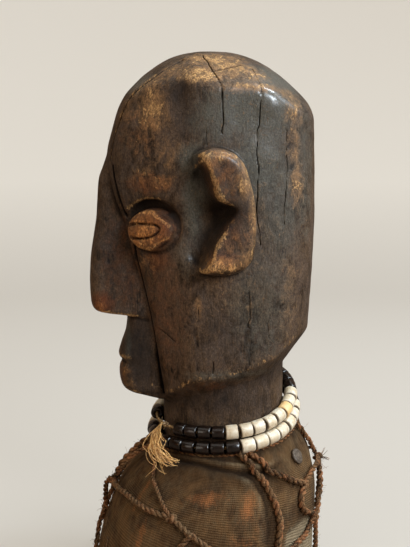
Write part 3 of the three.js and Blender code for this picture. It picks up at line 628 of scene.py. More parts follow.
def collar_roll(degrees):
    """The level of the rolled edge below the collar, and how much of it shows at each angle."""
    turn = off_angle(degrees, -20)
    front = np.interp(turn, [-60, -34, -11, 2, 19, 40, 80], [6.3, 6.28, 6.2, 5.9, 5.5, 5.2, 5.6])
    return front, smooth_step(-75, -50, turn) * (1 - smooth_step(25, 60, turn))


def under_layer(level, degrees):
    """1 where the outer cloth has worn away and the paler layer under it shows."""
    turn = np.radians(degrees)
    ragged = 0.05 * lumps(np.column_stack([degrees, degrees * 0]), 1.6, 31) + 0.08 * np.sin(turn * 9)
    low = smooth_step(0.03, -0.03, level - 2.08 - ragged + 0.002 * off_angle(degrees, 40))
    end = degrees % 360 + 9 * lumps(np.column_stack([level, level * 0]), 0.5, 32) + 9 * level
    return low * smooth_step(29, 35, degrees % 360) * (1 - smooth_step(88, 100, end))


def cloth_lift(level, degrees):
    relief = cloth_relief(level, degrees) * smooth_step(0, 0.25, level)
    return fold_height(level, degrees) + relief * (1 - 0.7 * smooth_step(7.3, 8, level))


# Meshes

def deselect_all():
    if bpy.context.mode != "OBJECT":
        bpy.ops.object.mode_set(mode="OBJECT")
    bpy.ops.object.select_all(action="DESELECT")


def take(piece):
    """Makes a piece the only one selected."""
    deselect_all()
    piece.select_set(True)
    bpy.context.view_layer.objects.active = piece
    return piece


def edit_all(piece):
    """Goes into edit mode with all of a piece selected."""
    take(piece)
    bpy.ops.object.mode_set(mode="EDIT")
    bpy.ops.mesh.select_all(action="SELECT")


def select_faces(piece, wanted):
    """Goes into edit mode with only the faces that a test picks selected."""
    take(piece)
    bpy.ops.object.mode_set(mode="EDIT")
    bpy.ops.mesh.select_mode(type="FACE")
    bpy.ops.mesh.select_all(action="DESELECT")
    bpy.ops.object.mode_set(mode="OBJECT")
    for polygon in piece.data.polygons:
        polygon.select = wanted(polygon)
    bpy.ops.object.mode_set(mode="EDIT")


def leave_edit_mode():
    bpy.ops.mesh.select_mode(type="VERT")
    bpy.ops.object.mode_set(mode="OBJECT")


def apply_modifier(piece, kind, **settings):
    take(piece)
    modifier = piece.modifiers.new(kind.lower(), kind)
    for name, value in settings.items():
        setattr(modifier, name, value)
    bpy.ops.object.modifier_apply(modifier=modifier.name)


def points_of(piece):
    """A mesh's points, in millimetres."""
    flat = np.empty(len(piece.data.vertices) * 3, np.float32)
    piece.data.vertices.foreach_get("co", flat)
    return flat.reshape(-1, 3).astype(float) / MM


def set_points(piece, points):
    piece.data.vertices.foreach_set("co", (points * MM).astype(np.float32).ravel())
    piece.data.update()


def keep_value(piece, name, values):
    """Stores a number at each point of a mesh for its material to read."""
    layer = piece.data.attributes.new(name, "FLOAT", "POINT")
    layer.data.foreach_set("value", np.clip(values, 0, 1).astype(np.float32))


def new_mesh(name, points, faces):
    """A mesh object from points in millimetres."""
    mesh = bpy.data.meshes.new(name)
    mesh.from_pydata((np.asarray(points) * MM).tolist(), [], faces)
    mesh.validate()
    mesh.polygons.foreach_set("use_smooth", [True] * len(mesh.polygons))
    piece = bpy.data.objects.new(name, mesh)
    bpy.context.scene.collection.objects.link(piece)
    return piece


def finish_piece(piece, material, slot, *nodes):
    """Gives a piece its finish and its body, and hides the model's nodes that it stands for."""
    piece.data.materials.clear()
    piece.data.materials.append(material)
    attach(piece, BODY)
    if nodes:
        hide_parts(*nodes)
    return piece


def frames_along(path):
    """Two directions square to a path at each of its points, turning as little as they can."""
    tangent = np.gradient(path, axis=0)
    tangent /= np.linalg.norm(tangent, axis=1)[:, None]
    side = np.cross(tangent[0], (0.31, 0.53, 0.79))
    sides = []
    for way in tangent:
        side = side - (side @ way) * way
        side = side / np.linalg.norm(side)
        sides.append(side)
    sides = np.array(sides)
    return sides, np.cross(tangent, sides)


def knot_loop(steps, depth=1.0):
    """The way of a cord that passes three times round itself."""
    turn = np.linspace(0, 2 * math.pi, steps)
    return np.column_stack([np.sin(turn) + 2 * np.sin(2 * turn), np.cos(turn) - 2 * np.cos(2 * turn),
                            -np.sin(3 * turn) * depth])


class Tubes:
    """Collects closed round tubes that end up in one mesh."""

    def __init__(self):
        self.points, self.faces, self.sunk, self.count = [], [], [], 0

    def add(self, path, radius, sides, cord=None):
        """One tube. For a ply, cord is the middle line and the radius of the cord that it is part of."""
        path = np.asarray(path, float)
        steps = len(path)
        first, second = frames_along(path)
        turn = np.arange(sides) * 2 * math.pi / sides
        radius = np.broadcast_to(radius, steps)[:, None, None]
        ring = np.cos(turn)[None, :, None] * first[:, None] + np.sin(turn)[None, :, None] * second[:, None]
        points = (path[:, None] + radius * ring).reshape(-1, 3)
        start = self.count
        for step in range(steps - 1):
            low = start + step * sides
            for i in range(sides):
                j = (i + 1) % sides
                self.faces.append((low + i, low + j, low + sides + j, low + sides + i))
        last = start + (steps - 1) * sides
        poles = start + steps * sides
        for i in range(sides):
            j = (i + 1) % sides
            self.faces.append((start + j, start + i, poles))
            self.faces.append((last + i, last + j, poles + 1))
        self.points += [points, path[:1], path[-1:]]
        self.count = poles + 2
        sunk = np.zeros(steps * sides + 2)
        # Where a ply lies inside its cord, the hollow value paints it darker: painted shade between the
        # plies.
        if cord:
            middle = np.repeat(cord[0], sides, axis=0)
            reach = np.linalg.norm(points - middle, axis=1) / cord[1]
            sunk[:-2] = smooth_step(0.9, 0.42, reach)
        self.sunk.append(sunk)

    def piece(self, name):
        piece = new_mesh(name, np.concatenate(self.points), self.faces)
        keep_value(piece, "hollow", np.concatenate(self.sunk))
        return piece


def resampled(path, step):
    """The same path, with a point every step."""
    path = np.asarray(path, float)
    length = np.concatenate([[0], np.cumsum(np.linalg.norm(np.diff(path, axis=0), axis=1))])
    at = np.linspace(0, length[-1], max(3, int(round(length[-1] / step)) + 1))
    return np.column_stack([np.interp(at, length, path[:, k]) for k in range(3)])


def twist(tubes, path, radius, pitch, random, sides=6):
    """Two plies laid round each other along a path, as thick together as the cord."""
    path = resampled(path, pitch / 8)
    first, second = frames_along(path)
    length = np.concatenate([[0], np.cumsum(np.linalg.norm(np.diff(path, axis=0), axis=1))])
    start = random.uniform(0, 6.28)
    for ply in range(2):
        phase = start + 2 * math.pi * length / pitch + math.pi * ply
        uneven = 1 + 0.14 * lumps(path + 37 * ply, 5, 41) + 0.07 * random.standard_normal(len(path))
        line = path + 0.46 * radius * (np.cos(phase)[:, None] * first + np.sin(phase)[:, None] * second)
        tubes.add(line, 0.6 * radius * uneven, sides, (path, radius))


def fibre(tubes, start, way, length, radius, random, curl=0.5, sides=3, steps=6):
    """One loose fibre that starts at a point and wanders off one way."""
    way = way / np.linalg.norm(way)
    bend = np.cross(way, random.standard_normal(3))
    wave = np.cross(way, bend)
    t = np.linspace(0, 1, steps)[:, None]
    line = start + way * length * t + bend * curl * length * t ** 2 * random.uniform(0.3, 1)
    line = line + wave * 0.12 * curl * length * np.sin(t * random.uniform(4, 9))
    tubes.add(line, radius * np.linspace(1, 0.45, steps), sides)


# Nodes

def put(tree, kind, inputs=None, **settings):
    """Adds a node, sets it up and links or fills its inputs."""
    node = tree.nodes.new("ShaderNode" + kind)
    for name, value in settings.items():
        setattr(node, name, value)
    for name, value in (inputs or {}).items():
        if isinstance(value, bpy.types.NodeSocket):
            tree.links.new(value, node.inputs[name])
        else:
            node.inputs[name].default_value = value
    return node


def mixed(tree, share, first, second, blend="MIX"):
    """A mix of two colours, by a share from 0 to 1."""
    node = put(tree, "Mix", data_type="RGBA", blend_type=blend)
    for index, value in ((0, share), (6, first), (7, second)):
        if isinstance(value, bpy.types.NodeSocket):
            tree.links.new(value, node.inputs[index])
        elif index == 0:
            node.inputs[0].default_value = value
        else:
            node.inputs[index].default_value = (*value[:3], 1)
    return node.outputs[2]


def maths(tree, operation, first, second=0.5, clamp=False):
    node = put(tree, "Math", operation=operation, use_clamp=clamp)
    for index, value in ((0, first), (1, second)):
        if isinstance(value, bpy.types.NodeSocket):
            tree.links.new(value, node.inputs[index])
        else:
            node.inputs[index].default_value = value
    return node.outputs[0]


def times(tree, first, second, clamp=False):
    return maths(tree, "MULTIPLY", first, second, clamp)


def shaded(tree, colour, value):
    """A colour made lighter or darker by a value that changes over the surface."""
    grey = put(tree, "CombineColor", {"Red": value, "Green": value, "Blue": value}).outputs[0]
    return mixed(tree, 1.0, colour, grey, "MULTIPLY")


def spread(tree, value, low, high, to_low=0.0, to_high=1.0):
    """A value stretched from one range to another and held inside it."""
    return put(tree, "MapRange", {"Value": value, "From Min": low, "From Max": high, "To Min": to_low,
                                  "To Max": to_high}, clamp=True).outputs[0]


def stored(tree, name):
    return put(tree, "Attribute", attribute_name=name).outputs["Fac"]


def object_space(tree, scale=(1, 1, 1), turn=(0, 0, 0)):
    """Object coordinates in millimetres, stretched and turned."""
    place = put(tree, "TexCoord").outputs["Object"]
    size = [value / MM for value in scale]
    return put(tree, "Mapping", {"Vector": place, "Scale": size, "Rotation": turn}).outputs[0]


def cloudy(tree, vector, scale, detail=4.0, roughness=0.6, distortion=0.0):
    return put(tree, "TexNoise", {"Vector": vector, "Scale": scale, "Detail": detail, "Roughness": roughness,
                                  "Distortion": distortion}).outputs["Fac"]


def new_group(name, inputs, outputs):
    """An empty node group with named numbers, and its input and output nodes."""
    tree = bpy.data.node_groups.new(name, "ShaderNodeTree")
    for label, default in inputs:
        socket = tree.interface.new_socket(label, in_out="INPUT", socket_type="NodeSocketFloat")
        socket.default_value = default
    for label in outputs:
        tree.interface.new_socket(label, in_out="OUTPUT", socket_type="NodeSocketFloat")
    return tree, tree.nodes.new("NodeGroupInput").outputs, tree.nodes.new("NodeGroupOutput").inputs


def use_group(tree, group, **inputs):
    node = put(tree, "Group", node_tree=group)
    for name, value in inputs.items():
        socket = node.inputs[name.replace("_", " ")]
        if isinstance(value, bpy.types.NodeSocket):
            tree.links.new(value, socket)
        else:
            socket.default_value = value
    return node.outputs


def grain_group():
    """Upright wood grain: fine streaks and open pores."""
    tree, given, result = new_group("upright_grain", [("Fineness", 1.0)], ["Streaks", "Pores"])
    streaks = object_space(tree, (1, 1, 0.055))
    fine = cloudy(tree, streaks, times(tree, given["Fineness"], 1.5), 5, 0.65)
    pores = cloudy(tree, object_space(tree, (1, 1, 0.16)), times(tree, given["Fineness"], 3.1), 2, 0.5)
    tree.links.new(fine, result["Streaks"])
    tree.links.new(spread(tree, pores, 0.60, 0.72), result["Pores"])
    return tree


def wear_group():
    """A mask broken up into flecks: a placed amount, eaten into by noise at two sizes."""
    inputs = [("Amount", 0.0), ("Size", 6.0), ("Softness", 0.2)]
    tree, given, result = new_group("broken_wear", inputs, ["Mask"])
    space = object_space(tree, (1, 1, 0.75))
    coarse = cloudy(tree, space, maths(tree, "DIVIDE", 1.0, given["Size"]), 5, 0.62, 0.4)
    fine = cloudy(tree, object_space(tree, (1, 1, 0.6)), 0.9, 4, 0.7, 0.3)
    rough = maths(tree, "ADD", times(tree, coarse, 0.6), times(tree, fine, 0.4))
    level = spread(tree, rough, 0.68, 0.34)
    edge = maths(tree, "SUBTRACT", given["Amount"], level)
    mask = put(tree, "MapRange", {"Value": edge, "From Min": 0.0, "From Max": given["Softness"]}, clamp=True)
    tree.links.new(mask.outputs[0], result["Mask"])
    return tree


def dust_group():
    """Dust and grime, most of it on what faces up."""
    tree, given, result = new_group("settled_dust", [("Amount", 0.5), ("Size", 5.0)], ["Mask"])
    normal = put(tree, "NewGeometry").outputs["Normal"]
    up = put(tree, "SeparateXYZ", {"Vector": normal}).outputs["Z"]
    lying = spread(tree, up, -0.2, 1.0)
    clouds = cloudy(tree, object_space(tree), maths(tree, "DIVIDE", 1.0, given["Size"]), 5, 0.65)
    mask = times(tree, times(tree, lying, spread(tree, clouds, 0.35, 0.75)), given["Amount"],
                 clamp=True)
    tree.links.new(mask, result["Mask"])
    return tree


def fibre_group():
    """Fine fibres and lint, as a height and as a speckle of light ends."""
    tree, _, result = new_group("lint", [], ["Height", "Speckle"])
    height = cloudy(tree, object_space(tree, (1, 1, 0.5), (0.5, 0.3, 0.2)), 2.2, 4, 0.7, 0.8)
    speckle = cloudy(tree, object_space(tree), 3.4, 2, 0.6)
    tree.links.new(height, result["Height"])
    tree.links.new(spread(tree, speckle, 0.6, 0.78), result["Speckle"])
    return tree


def weave_group():
    """A ribbed weave on the piece's own map: slanting ribs, crossed by finer threads."""
    tree, given, result = new_group("ribbed_weave", [("Across", 300.0), ("Up", 130.0)], ["Height", "Threads"])
    place = put(tree, "UVMap", uv_map="UVMap").outputs["UV"]
    split = put(tree, "SeparateXYZ", {"Vector": place}).outputs
    wander = cloudy(tree, object_space(tree), 0.35, 2, 0.5)
    u = maths(tree, "ADD", times(tree, split["X"], given["Across"]), times(tree, wander, 1.2))
    v = maths(tree, "ADD", times(tree, split["Y"], given["Up"]), times(tree, wander, 0.7))
    slanting = maths(tree, "ADD", v, times(tree, u, 0.12))
    ribs = maths(tree, "ABSOLUTE", maths(tree, "SINE", times(tree, slanting, math.pi)))
    threads = maths(tree, "ABSOLUTE", maths(tree, "SINE", times(tree, u, math.pi)))
    height = maths(tree, "ADD", times(tree, ribs, 0.7), times(tree, threads, 0.3))
    tree.links.new(height, result["Height"])
    drawn_out = put(tree, "Mapping", {"Vector": place, "Scale": (260, 9, 1)}).outputs[0]
    tree.links.new(cloudy(tree, drawn_out, 1.0, 3, 0.6), result["Threads"])
    return tree


def new_material(name, roughness=0.6, **constants):
    """A material with its Principled shader, whose plain values are set on the shader itself."""
    material = bpy.data.materials.new(name)
    material.use_nodes = True
    shader = material.node_tree.nodes["Principled BSDF"]
    shader.inputs["Roughness"].default_value = roughness
    for label, value in constants.items():
        shader.inputs[label.replace("_", " ")].default_value = value
    return material, material.node_tree, shader


def bumped(tree, shader, *heights):
    """Feeds bumps to the shader, each as a height, a strength and a depth in millimetres."""
    normal = None
    for height, strength, depth in heights:
        node = put(tree, "Bump", {"Height": height, "Strength": strength, "Distance": depth * MM})
        if normal is not None:
            tree.links.new(normal, node.inputs["Normal"])
        normal = node.outputs["Normal"]
    tree.links.new(normal, shader.inputs["Normal"])


def wood_material(look):
    """Dark handled wood: brown under a grey-blue polish with a painted sheen, worn golden on its edges,
    cracked, and darkened with painted shade in its hollows.
    """
    material, tree, shader = new_material("handled_wood", 0.5, Specular_IOR_Level=0.1, Coat_Roughness=0.25)
    grain = use_group(tree, bpy.data.node_groups["upright_grain"], Fineness=1.0)
    wear = bpy.data.node_groups["broken_wear"]
    clouds = cloudy(tree, object_space(tree, (1, 1, 0.5)), 0.07, 5, 0.65, 0.4)
    mottle = cloudy(tree, object_space(tree, (1, 1, 0.7)), 0.30, 6, 0.72, 0.4)
    specks = cloudy(tree, object_space(tree, (1, 1, 0.75)), 1.15, 6, 0.78, 0.2)
    lean = maths(tree, "SUBTRACT", mottle, 0.5)

    def where(name, low, high, strength):
        """A stored amount, with its border broken up by the mottling."""
        broken = maths(tree, "ADD", stored(tree, name), times(tree, lean, 1.8))
        present = spread(tree, stored(tree, name), 0.03, 0.2)
        share = times(tree, spread(tree, broken, low, high), present)
        return times(tree, share, strength)

    tone = maths(tree, "ADD", times(tree, clouds, 0.5), times(tree, mottle, 0.5))
    colour = mixed(tree, spread(tree, tone, 0.40, 0.56), look.wood_dark, look.wood_brown)
    smoke = cloudy(tree, object_space(tree, (1, 1, 0.6), (0.2, 0, 0)), 0.12, 4, 0.6, 0.8)
    colour = mixed(tree, spread(tree, smoke, 0.45, 0.58, 0, 0.6), colour, look.wood_smoke)
    streaks = spread(tree, grain["Streaks"], 0.48, 0.72, 0, 0.4)
    colour = mixed(tree, streaks, colour, look.wood_umber)
    # The grey-blue is the old polish and a painted sheen of the cool window light.
    polish_and_sheen = where("haze_and_sheen", 0.05, 0.8, 0.9)
    colour = mixed(tree, polish_and_sheen, colour, look.wood_polish_sheen)
    ruddy = where("ruddy", 0.1, 0.95, 0.8)
    colour = mixed(tree, times(tree, ruddy, 0.7), colour, look.wood_red)
    under = mixed(tree, spread(tree, mottle, 0.42, 0.58), look.wood_umber, look.wood_tan)
    colour = mixed(tree, where("golden", 0.22, 0.8, 0.85), colour, under)
    blotches = cloudy(tree, object_space(tree, (1, 1, 0.8)), 0.16, 5, 0.7, 0.6)
    bare = times(tree, stored(tree, "golden"), spread(tree, blotches, 0.38, 0.60, 0.45, 1.05))
    gold = use_group(tree, wear, Amount=times(tree, bare, 0.86), Size=3.2, Softness=0.2)["Mask"]
    tan = mixed(tree, spread(tree, specks, 0.42, 0.58), look.wood_tan, look.wood_gold)
    colour = mixed(tree, times(tree, gold, 0.85), colour, tan)
    # Raised edges worn tan; the eye's ridge line in this mask is a painted highlight as well.
    edges = use_group(tree, wear, Amount=stored(tree, "edge"), Size=2.5, Softness=0.25)["Mask"]
    colour = mixed(tree, times(tree, edges, 0.75), colour, tan)
    colour = mixed(tree, 1.0, colour, mixed(tree, ruddy, (1, 1, 1), look.wood_tint), "MULTIPLY")
    scratches = cloudy(tree, object_space(tree, (1, 0.3, 0.18), (0.35, 0, 0)), 2.4, 3, 0.6)
    crossed = cloudy(tree, object_space(tree, (1, 0.16, 0.5), (-0.7, 0, 0)), 1.6, 3, 0.6)
    scored = maths(tree, "MAXIMUM", spread(tree, scratches, 0.63, 0.68), spread(tree, crossed, 0.65, 0.69))
    scored = times(tree, scored, spread(tree, clouds, 0.44, 0.58, 0.05, 0.4))
    colour = mixed(tree, scored, colour, look.wood_tan)
    flecks = spread(tree, cloudy(tree, object_space(tree, (1, 1, 0.6)), 0.8, 4, 0.72, 0.6), 0.60, 0.68)
    shut = maths(tree, "SUBTRACT", 1.0, times(tree, stored(tree, "matt"), 0.75))
    colour = mixed(tree, times(tree, times(tree, flecks, 0.25), shut), colour, look.wood_tan)
    fine = spread(tree, specks, 0.38, 0.62, 0.58, 1.45)
    colour = shaded(tree, colour, fine)
    colour = mixed(tree, times(tree, grain["Pores"], 0.6), colour, look.wood_dark)
    # Painted shade: the hollow value darkens recesses, the underside of the jaw and faces turned from the
    # light towards near-black, with some grime.
    colour = mixed(tree, times(tree, stored(tree, "hollow"), 0.9), colour, look.wood_deep)
    colour = mixed(tree, stored(tree, "crack"), colour, look.wood_deep)
    tree.links.new(colour, shader.inputs["Base Color"])

    dull = times(tree, maths(tree, "ADD", stored(tree, "crack"), stored(tree, "hollow")), 0.3)
    sheen = maths(tree, "ADD", times(tree, polish_and_sheen, 0.5), stored(tree, "gloss"), clamp=True)
    clear = times(tree, sheen, spread(tree, specks, 0.38, 0.58, 1.0, 0.15))
    kept = maths(tree, "SUBTRACT", 1.0, times(tree, gold, 0.5))
    open_wood = maths(tree, "SUBTRACT", 1.0, stored(tree, "hollow"), clamp=True)
    coat = times(tree, times(tree, clear, kept), open_wood)
    tree.links.new(coat, shader.inputs["Coat Weight"])
    rough = spread(tree, mottle, 0.38, 0.62, look.wood_polish + 0.12, look.wood_polish + 0.28)
    rough = maths(tree, "SUBTRACT", maths(tree, "ADD", rough, dull), times(tree, sheen, 0.2))
    tree.links.new(rough, shader.inputs["Roughness"])
    bumped(tree, shader, (grain["Streaks"], 0.4, 0.3), (mottle, 0.75, 1.2), (specks, 0.5, 0.3),
           (scratches, 0.4, 0.2), (maths(tree, "SUBTRACT", 1.0, grain["Pores"]), 0.4, 0.25))
    return material


def cloth_material(look):
    """Old coarse cloth, brown with grime, with rust patches and a weave, painted shade in its folds, weave
    and under the beads, and rubbed ridges that carry a painted highlight.
    """
    material, tree, shader = new_material("grimy_cloth", 0.95, Specular_IOR_Level=0.06)
    weave = use_group(tree, bpy.data.node_groups["ribbed_weave"], Across=look.weave_across, Up=look.weave_up)
    lint = use_group(tree, bpy.data.node_groups["lint"])
    clouds = cloudy(tree, object_space(tree), 0.085, 5, 0.65, 0.5)
    stains = cloudy(tree, object_space(tree, (1, 1, 0.45)), 0.22, 5, 0.7, 0.4)
    wear = bpy.data.node_groups["broken_wear"]

    colour = mixed(tree, spread(tree, clouds, 0.40, 0.58), look.cloth_dark, look.cloth_brown)
    colour = mixed(tree, spread(tree, stains, 0.42, 0.72, 0, 0.8), colour, look.cloth_grey)
    pale = times(tree, stored(tree, "pale"), 0.8)
    colour = mixed(tree, pale, colour, look.cloth_pale)
    rust = use_group(tree, wear, Amount=stored(tree, "rust"), Size=9.0, Softness=0.9)["Mask"]
    colour = mixed(tree, times(tree, rust, 0.9), colour, look.cloth_rust)
    # Pale on the cloth's raised ridges, rubbed cloth with a painted highlight, and along the top of the
    # collar's roll, a painted highlight.
    rubbed_and_lit = times(tree, stored(tree, "ridge"), spread(tree, stains, 0.4, 0.6, 0.15, 0.7))
    colour = mixed(tree, rubbed_and_lit, colour, look.cloth_pale)
    threads = spread(tree, weave["Threads"], 0.35, 0.7, 0.85, 1.15)
    colour = shaded(tree, colour, threads)
    # The weave's low places painted darker: painted shade between the threads.
    shaded_gaps = spread(tree, weave["Height"], 0.1, 0.9, 0.66, 1.15)
    colour = shaded(tree, colour, shaded_gaps)
    colour = mixed(tree, times(tree, lint["Speckle"], 0.15), colour, look.cloth_pale)
    # Painted shade in the folds and under the beads.
    colour = mixed(tree, times(tree, stored(tree, "hollow"), 0.75), colour, look.wood_deep)
    tree.links.new(colour, shader.inputs["Base Color"])
    bumped(tree, shader, (weave["Height"], 0.8, 0.4), (weave["Threads"], 0.2, 0.2),
           (lint["Height"], 0.25, 0.2), (stains, 0.3, 0.6))
    return material


def cord_material(look):
    """Twisted bark cord, brown with grime and rust-red where it has rubbed, darkened with painted shade where
    its plies meet.
    """
    material, tree, shader = new_material("twisted_cord", 0.92, Specular_IOR_Level=0.08)
    lint = use_group(tree, bpy.data.node_groups["lint"])
    clouds = cloudy(tree, object_space(tree), 0.06, 4, 0.6)
    patches = cloudy(tree, object_space(tree), 0.22, 4, 0.65)
    fine = cloudy(tree, object_space(tree), 1.1, 5, 0.75, 0.4)
    dust = use_group(tree, bpy.data.node_groups["settled_dust"], Amount=0.7, Size=4.0)["Mask"]
    colour = mixed(tree, spread(tree, clouds, 0.42, 0.58), look.cord_dark, look.cord_brown)
    colour = mixed(tree, spread(tree, patches, 0.46, 0.60, 0, 0.85), colour, look.cord_red)
    colour = mixed(tree, times(tree, stored(tree, "grey"), 0.5), colour, look.cloth_grey)
    colour = mixed(tree, spread(tree, fine, 0.52, 0.66, 0, 0.85), colour, look.cord_tan)
    colour = mixed(tree, spread(tree, fine, 0.46, 0.36), colour, look.cord_dark)
    colour = mixed(tree, times(tree, dust, 0.5), colour, look.cord_dust)
    colour = mixed(tree, times(tree, lint["Speckle"], 0.4), colour, look.cord_tan)
    # Painted shade where the plies press together.
    colour = mixed(tree, times(tree, stored(tree, "hollow"), 0.7), colour, look.wood_deep)
    tree.links.new(colour, shader.inputs["Base Color"])
    bumped(tree, shader, (lint["Height"], 0.9, 0.5), (fine, 0.5, 0.4))
    return material


def straw_material(name, usual, dark, light):
    """Dry plant fibre, as on the bead strings and the tuft."""
    material, tree, shader = new_material(name, 0.6, Specular_IOR_Level=0.35)
    along = cloudy(tree, object_space(tree), 0.5, 4, 0.65)
    fine = cloudy(tree, object_space(tree, (1, 1, 0.4)), 2.6, 3, 0.6)
    colour = mixed(tree, spread(tree, along, 0.36, 0.66), usual, dark)
    colour = mixed(tree, spread(tree, fine, 0.5, 0.75), colour, light)
    tree.links.new(colour, shader.inputs["Base Color"])
    bumped(tree, shader, (fine, 0.5, 0.15))
    return material


def black_bead_material(look):
    """Glossy black glass, with dust on what faces up, and painted shade at its ends and in its hole."""
    material, tree, shader = new_material("black_glass", 0.2, Specular_IOR_Level=0.36)
    clouds = cloudy(tree, object_space(tree), 0.35, 4, 0.6)
    fine = cloudy(tree, object_space(tree), 1.6, 4, 0.7)
    colour = mixed(tree, spread(tree, clouds, 0.4, 0.7), look.bead_black, look.bead_brown)
    dust = use_group(tree, bpy.data.node_groups["settled_dust"], Amount=0.08, Size=2.0)["Mask"]
    colour = mixed(tree, dust, colour, look.cloth_grey)
    # Painted shade at the ends and in the hole.
    colour = mixed(tree, times(tree, stored(tree, "hollow"), 0.8), colour, look.wood_deep)
    tree.links.new(colour, shader.inputs["Base Color"])
    tree.links.new(spread(tree, fine, 0.35, 0.7, 0.10, 0.30), shader.inputs["Roughness"])
    bumped(tree, shader, (clouds, 0.25, 0.4), (fine, 0.15, 0.1))
    return material


def white_bead_material(look):
    """Cream glazed clay, with stains, dark specks, and grime and painted shade at its ends."""
    material, tree, shader = new_material("cream_glaze", 0.4, Specular_IOR_Level=0.45)
    clouds = cloudy(tree, object_space(tree), 0.3, 4, 0.6)
    stains = cloudy(tree, object_space(tree, (1, 1, 0.5)), 0.75, 4, 0.7, 0.5)
    specks = spread(tree, cloudy(tree, object_space(tree), 1.7, 3, 0.6), 0.64, 0.70)
    colour = mixed(tree, spread(tree, clouds, 0.42, 0.62), look.bead_white, look.bead_cream)
    colour = mixed(tree, spread(tree, stains, 0.52, 0.70, 0, 0.75), colour, look.bead_stain)
    colour = mixed(tree, times(tree, specks, 0.8), colour, look.wood_brown)
    colour = mixed(tree, times(tree, stored(tree, "amber"), 0.7), colour, look.bead_amber)
    # Grime, and painted shade at the ends and in the hole.
    colour = mixed(tree, times(tree, stored(tree, "hollow"), 0.85), colour, look.bead_grime_and_shade)
    tree.links.new(colour, shader.inputs["Base Color"])
    tree.links.new(spread(tree, stains, 0.3, 0.75, 0.32, 0.6), shader.inputs["Roughness"])
    clean = maths(tree, "SUBTRACT", 1.0, specks)
    bumped(tree, shader, (clouds, 0.3, 0.5), (stains, 0.25, 0.2), (clean, 0.4, 0.2))
    return material


def metal_material(name, dark, light, metallic):
    """Dull old metal, pitted and brown with grime, with painted shade at its foot."""
    material, tree, shader = new_material(name, 0.55, Specular_IOR_Level=0.2)
    clouds = cloudy(tree, object_space(tree), 0.6, 5, 0.7)
    fine = cloudy(tree, object_space(tree), 2.2, 4, 0.7)
    colour = mixed(tree, spread(tree, clouds, 0.38, 0.66), dark, light)
    colour = mixed(tree, spread(tree, fine, 0.58, 0.72), colour, dark)
    # Painted shade where the pin meets the cloth.
    colour = mixed(tree, times(tree, stored(tree, "hollow"), 0.8), colour, (0.01, 0.008, 0.006))
    tree.links.new(colour, shader.inputs["Base Color"])
    tree.links.new(spread(tree, clouds, 0.3, 0.7, metallic, metallic * 0.4), shader.inputs["Metallic"])
    tree.links.new(spread(tree, fine, 0.3, 0.7, 0.4, 0.75), shader.inputs["Roughness"])
    bumped(tree, shader, (fine, 0.6, 0.25), (clouds, 0.5, 0.4))
    return material


def plaster_material(look):
    """The matt pale surface of the stage."""
    material, tree, shader = new_material("pale_plaster", 0.95, Specular_IOR_Level=0.1)
    place = put(tree, "TexCoord").outputs["Object"]
    clouds = put(tree, "TexNoise", {"Vector": place, "Scale": 1.5, "Detail": 3})
    second = [value * 0.97 for value in look.floor_colour]
    colour = mixed(tree, clouds.outputs["Fac"], look.floor_colour, second)
    height = put(tree, "SeparateXYZ", {"Vector": place}).outputs["Z"]
    colour = mixed(tree, spread(tree, height, 0.0, 0.22), look.ground_colour, colour)
    seen = put(tree, "LightPath").outputs["Is Camera Ray"]
    tree.links.new(mixed(tree, seen, look.bounce_colour, colour), shader.inputs["Base Color"])
    tree.links.new(mixed(tree, seen, (0, 0, 0), look.backdrop_glow), shader.inputs["Emission Color"])
    shader.inputs["Emission Strength"].default_value = 1.0
    return material


def material_named(look, name):
    """One of the figure's materials, made the first time that it is wanted."""
    if name in bpy.data.materials:
        return bpy.data.materials[name]
    if "broken_wear" not in bpy.data.node_groups:
        for make in (grain_group, wear_group, dust_group, fibre_group, weave_group):
            make()
    makers = {
        "handled_wood": wood_material,
        "grimy_cloth": cloth_material,
        "twisted_cord": cord_material,
        "black_glass": black_bead_material,
        "cream_glaze": white_bead_material,
        "pale_plaster": plaster_material,
        "bead_straw": lambda the: straw_material("bead_straw", the.straw, the.cord_dark, the.straw_light),
        "golden_raffia": lambda the: straw_material("golden_raffia", the.raffia, the.raffia_dark,
                                                    the.raffia_light),
        "dull_stud": lambda the: metal_material("dull_stud", (0.045, 0.032, 0.021), (0.12, 0.092, 0.066),
                                                0.12),
        "old_iron": lambda the: metal_material("old_iron", (0.012, 0.009, 0.007), (0.05, 0.035, 0.026), 0.5),
    }
    return makers[name](look)


# Settings

def length(name, text, default):
    return FloatProperty(name=name, description=text, default=default, unit="LENGTH", precision=4)


def colour(name, text, default):
    return FloatVectorProperty(name=name, description=text, default=default, subtype="COLOR", min=0, max=1)


class FigureSizes(bpy.types.PropertyGroup):
    """Sizes that decide how fine the pieces are and how they are made up."""

    carving_step: length("Carving step", "Spacing of the points on the carved wood", 0.0012)
    cloth_columns: IntProperty(name="Cloth columns", default=384,
                               description="Columns of faces round the cloth")
    cloth_rows: IntProperty(name="Cloth rows", default=124,
                            description="Rows of faces up the cloth's outside")
    cord_twist: length("Cord twist", "Length of one turn of the net's two plies", 0.0062)
    string_radius: length("String radius", "Half the thickness of the bead strings", 0.0006)
    bead_radius: length("Bead radius", "Half the diameter of a bead", 0.00335)
    bead_gap: length("Bead gap", "Space between the ends of two beads", 0.00032)
    bead_hole: length("Bead hole", "Half the diameter of the hole through a bead", 0.0012)
    cove_radius: length("Cove radius", "How far the pale floor runs before it curves up", 1.1)


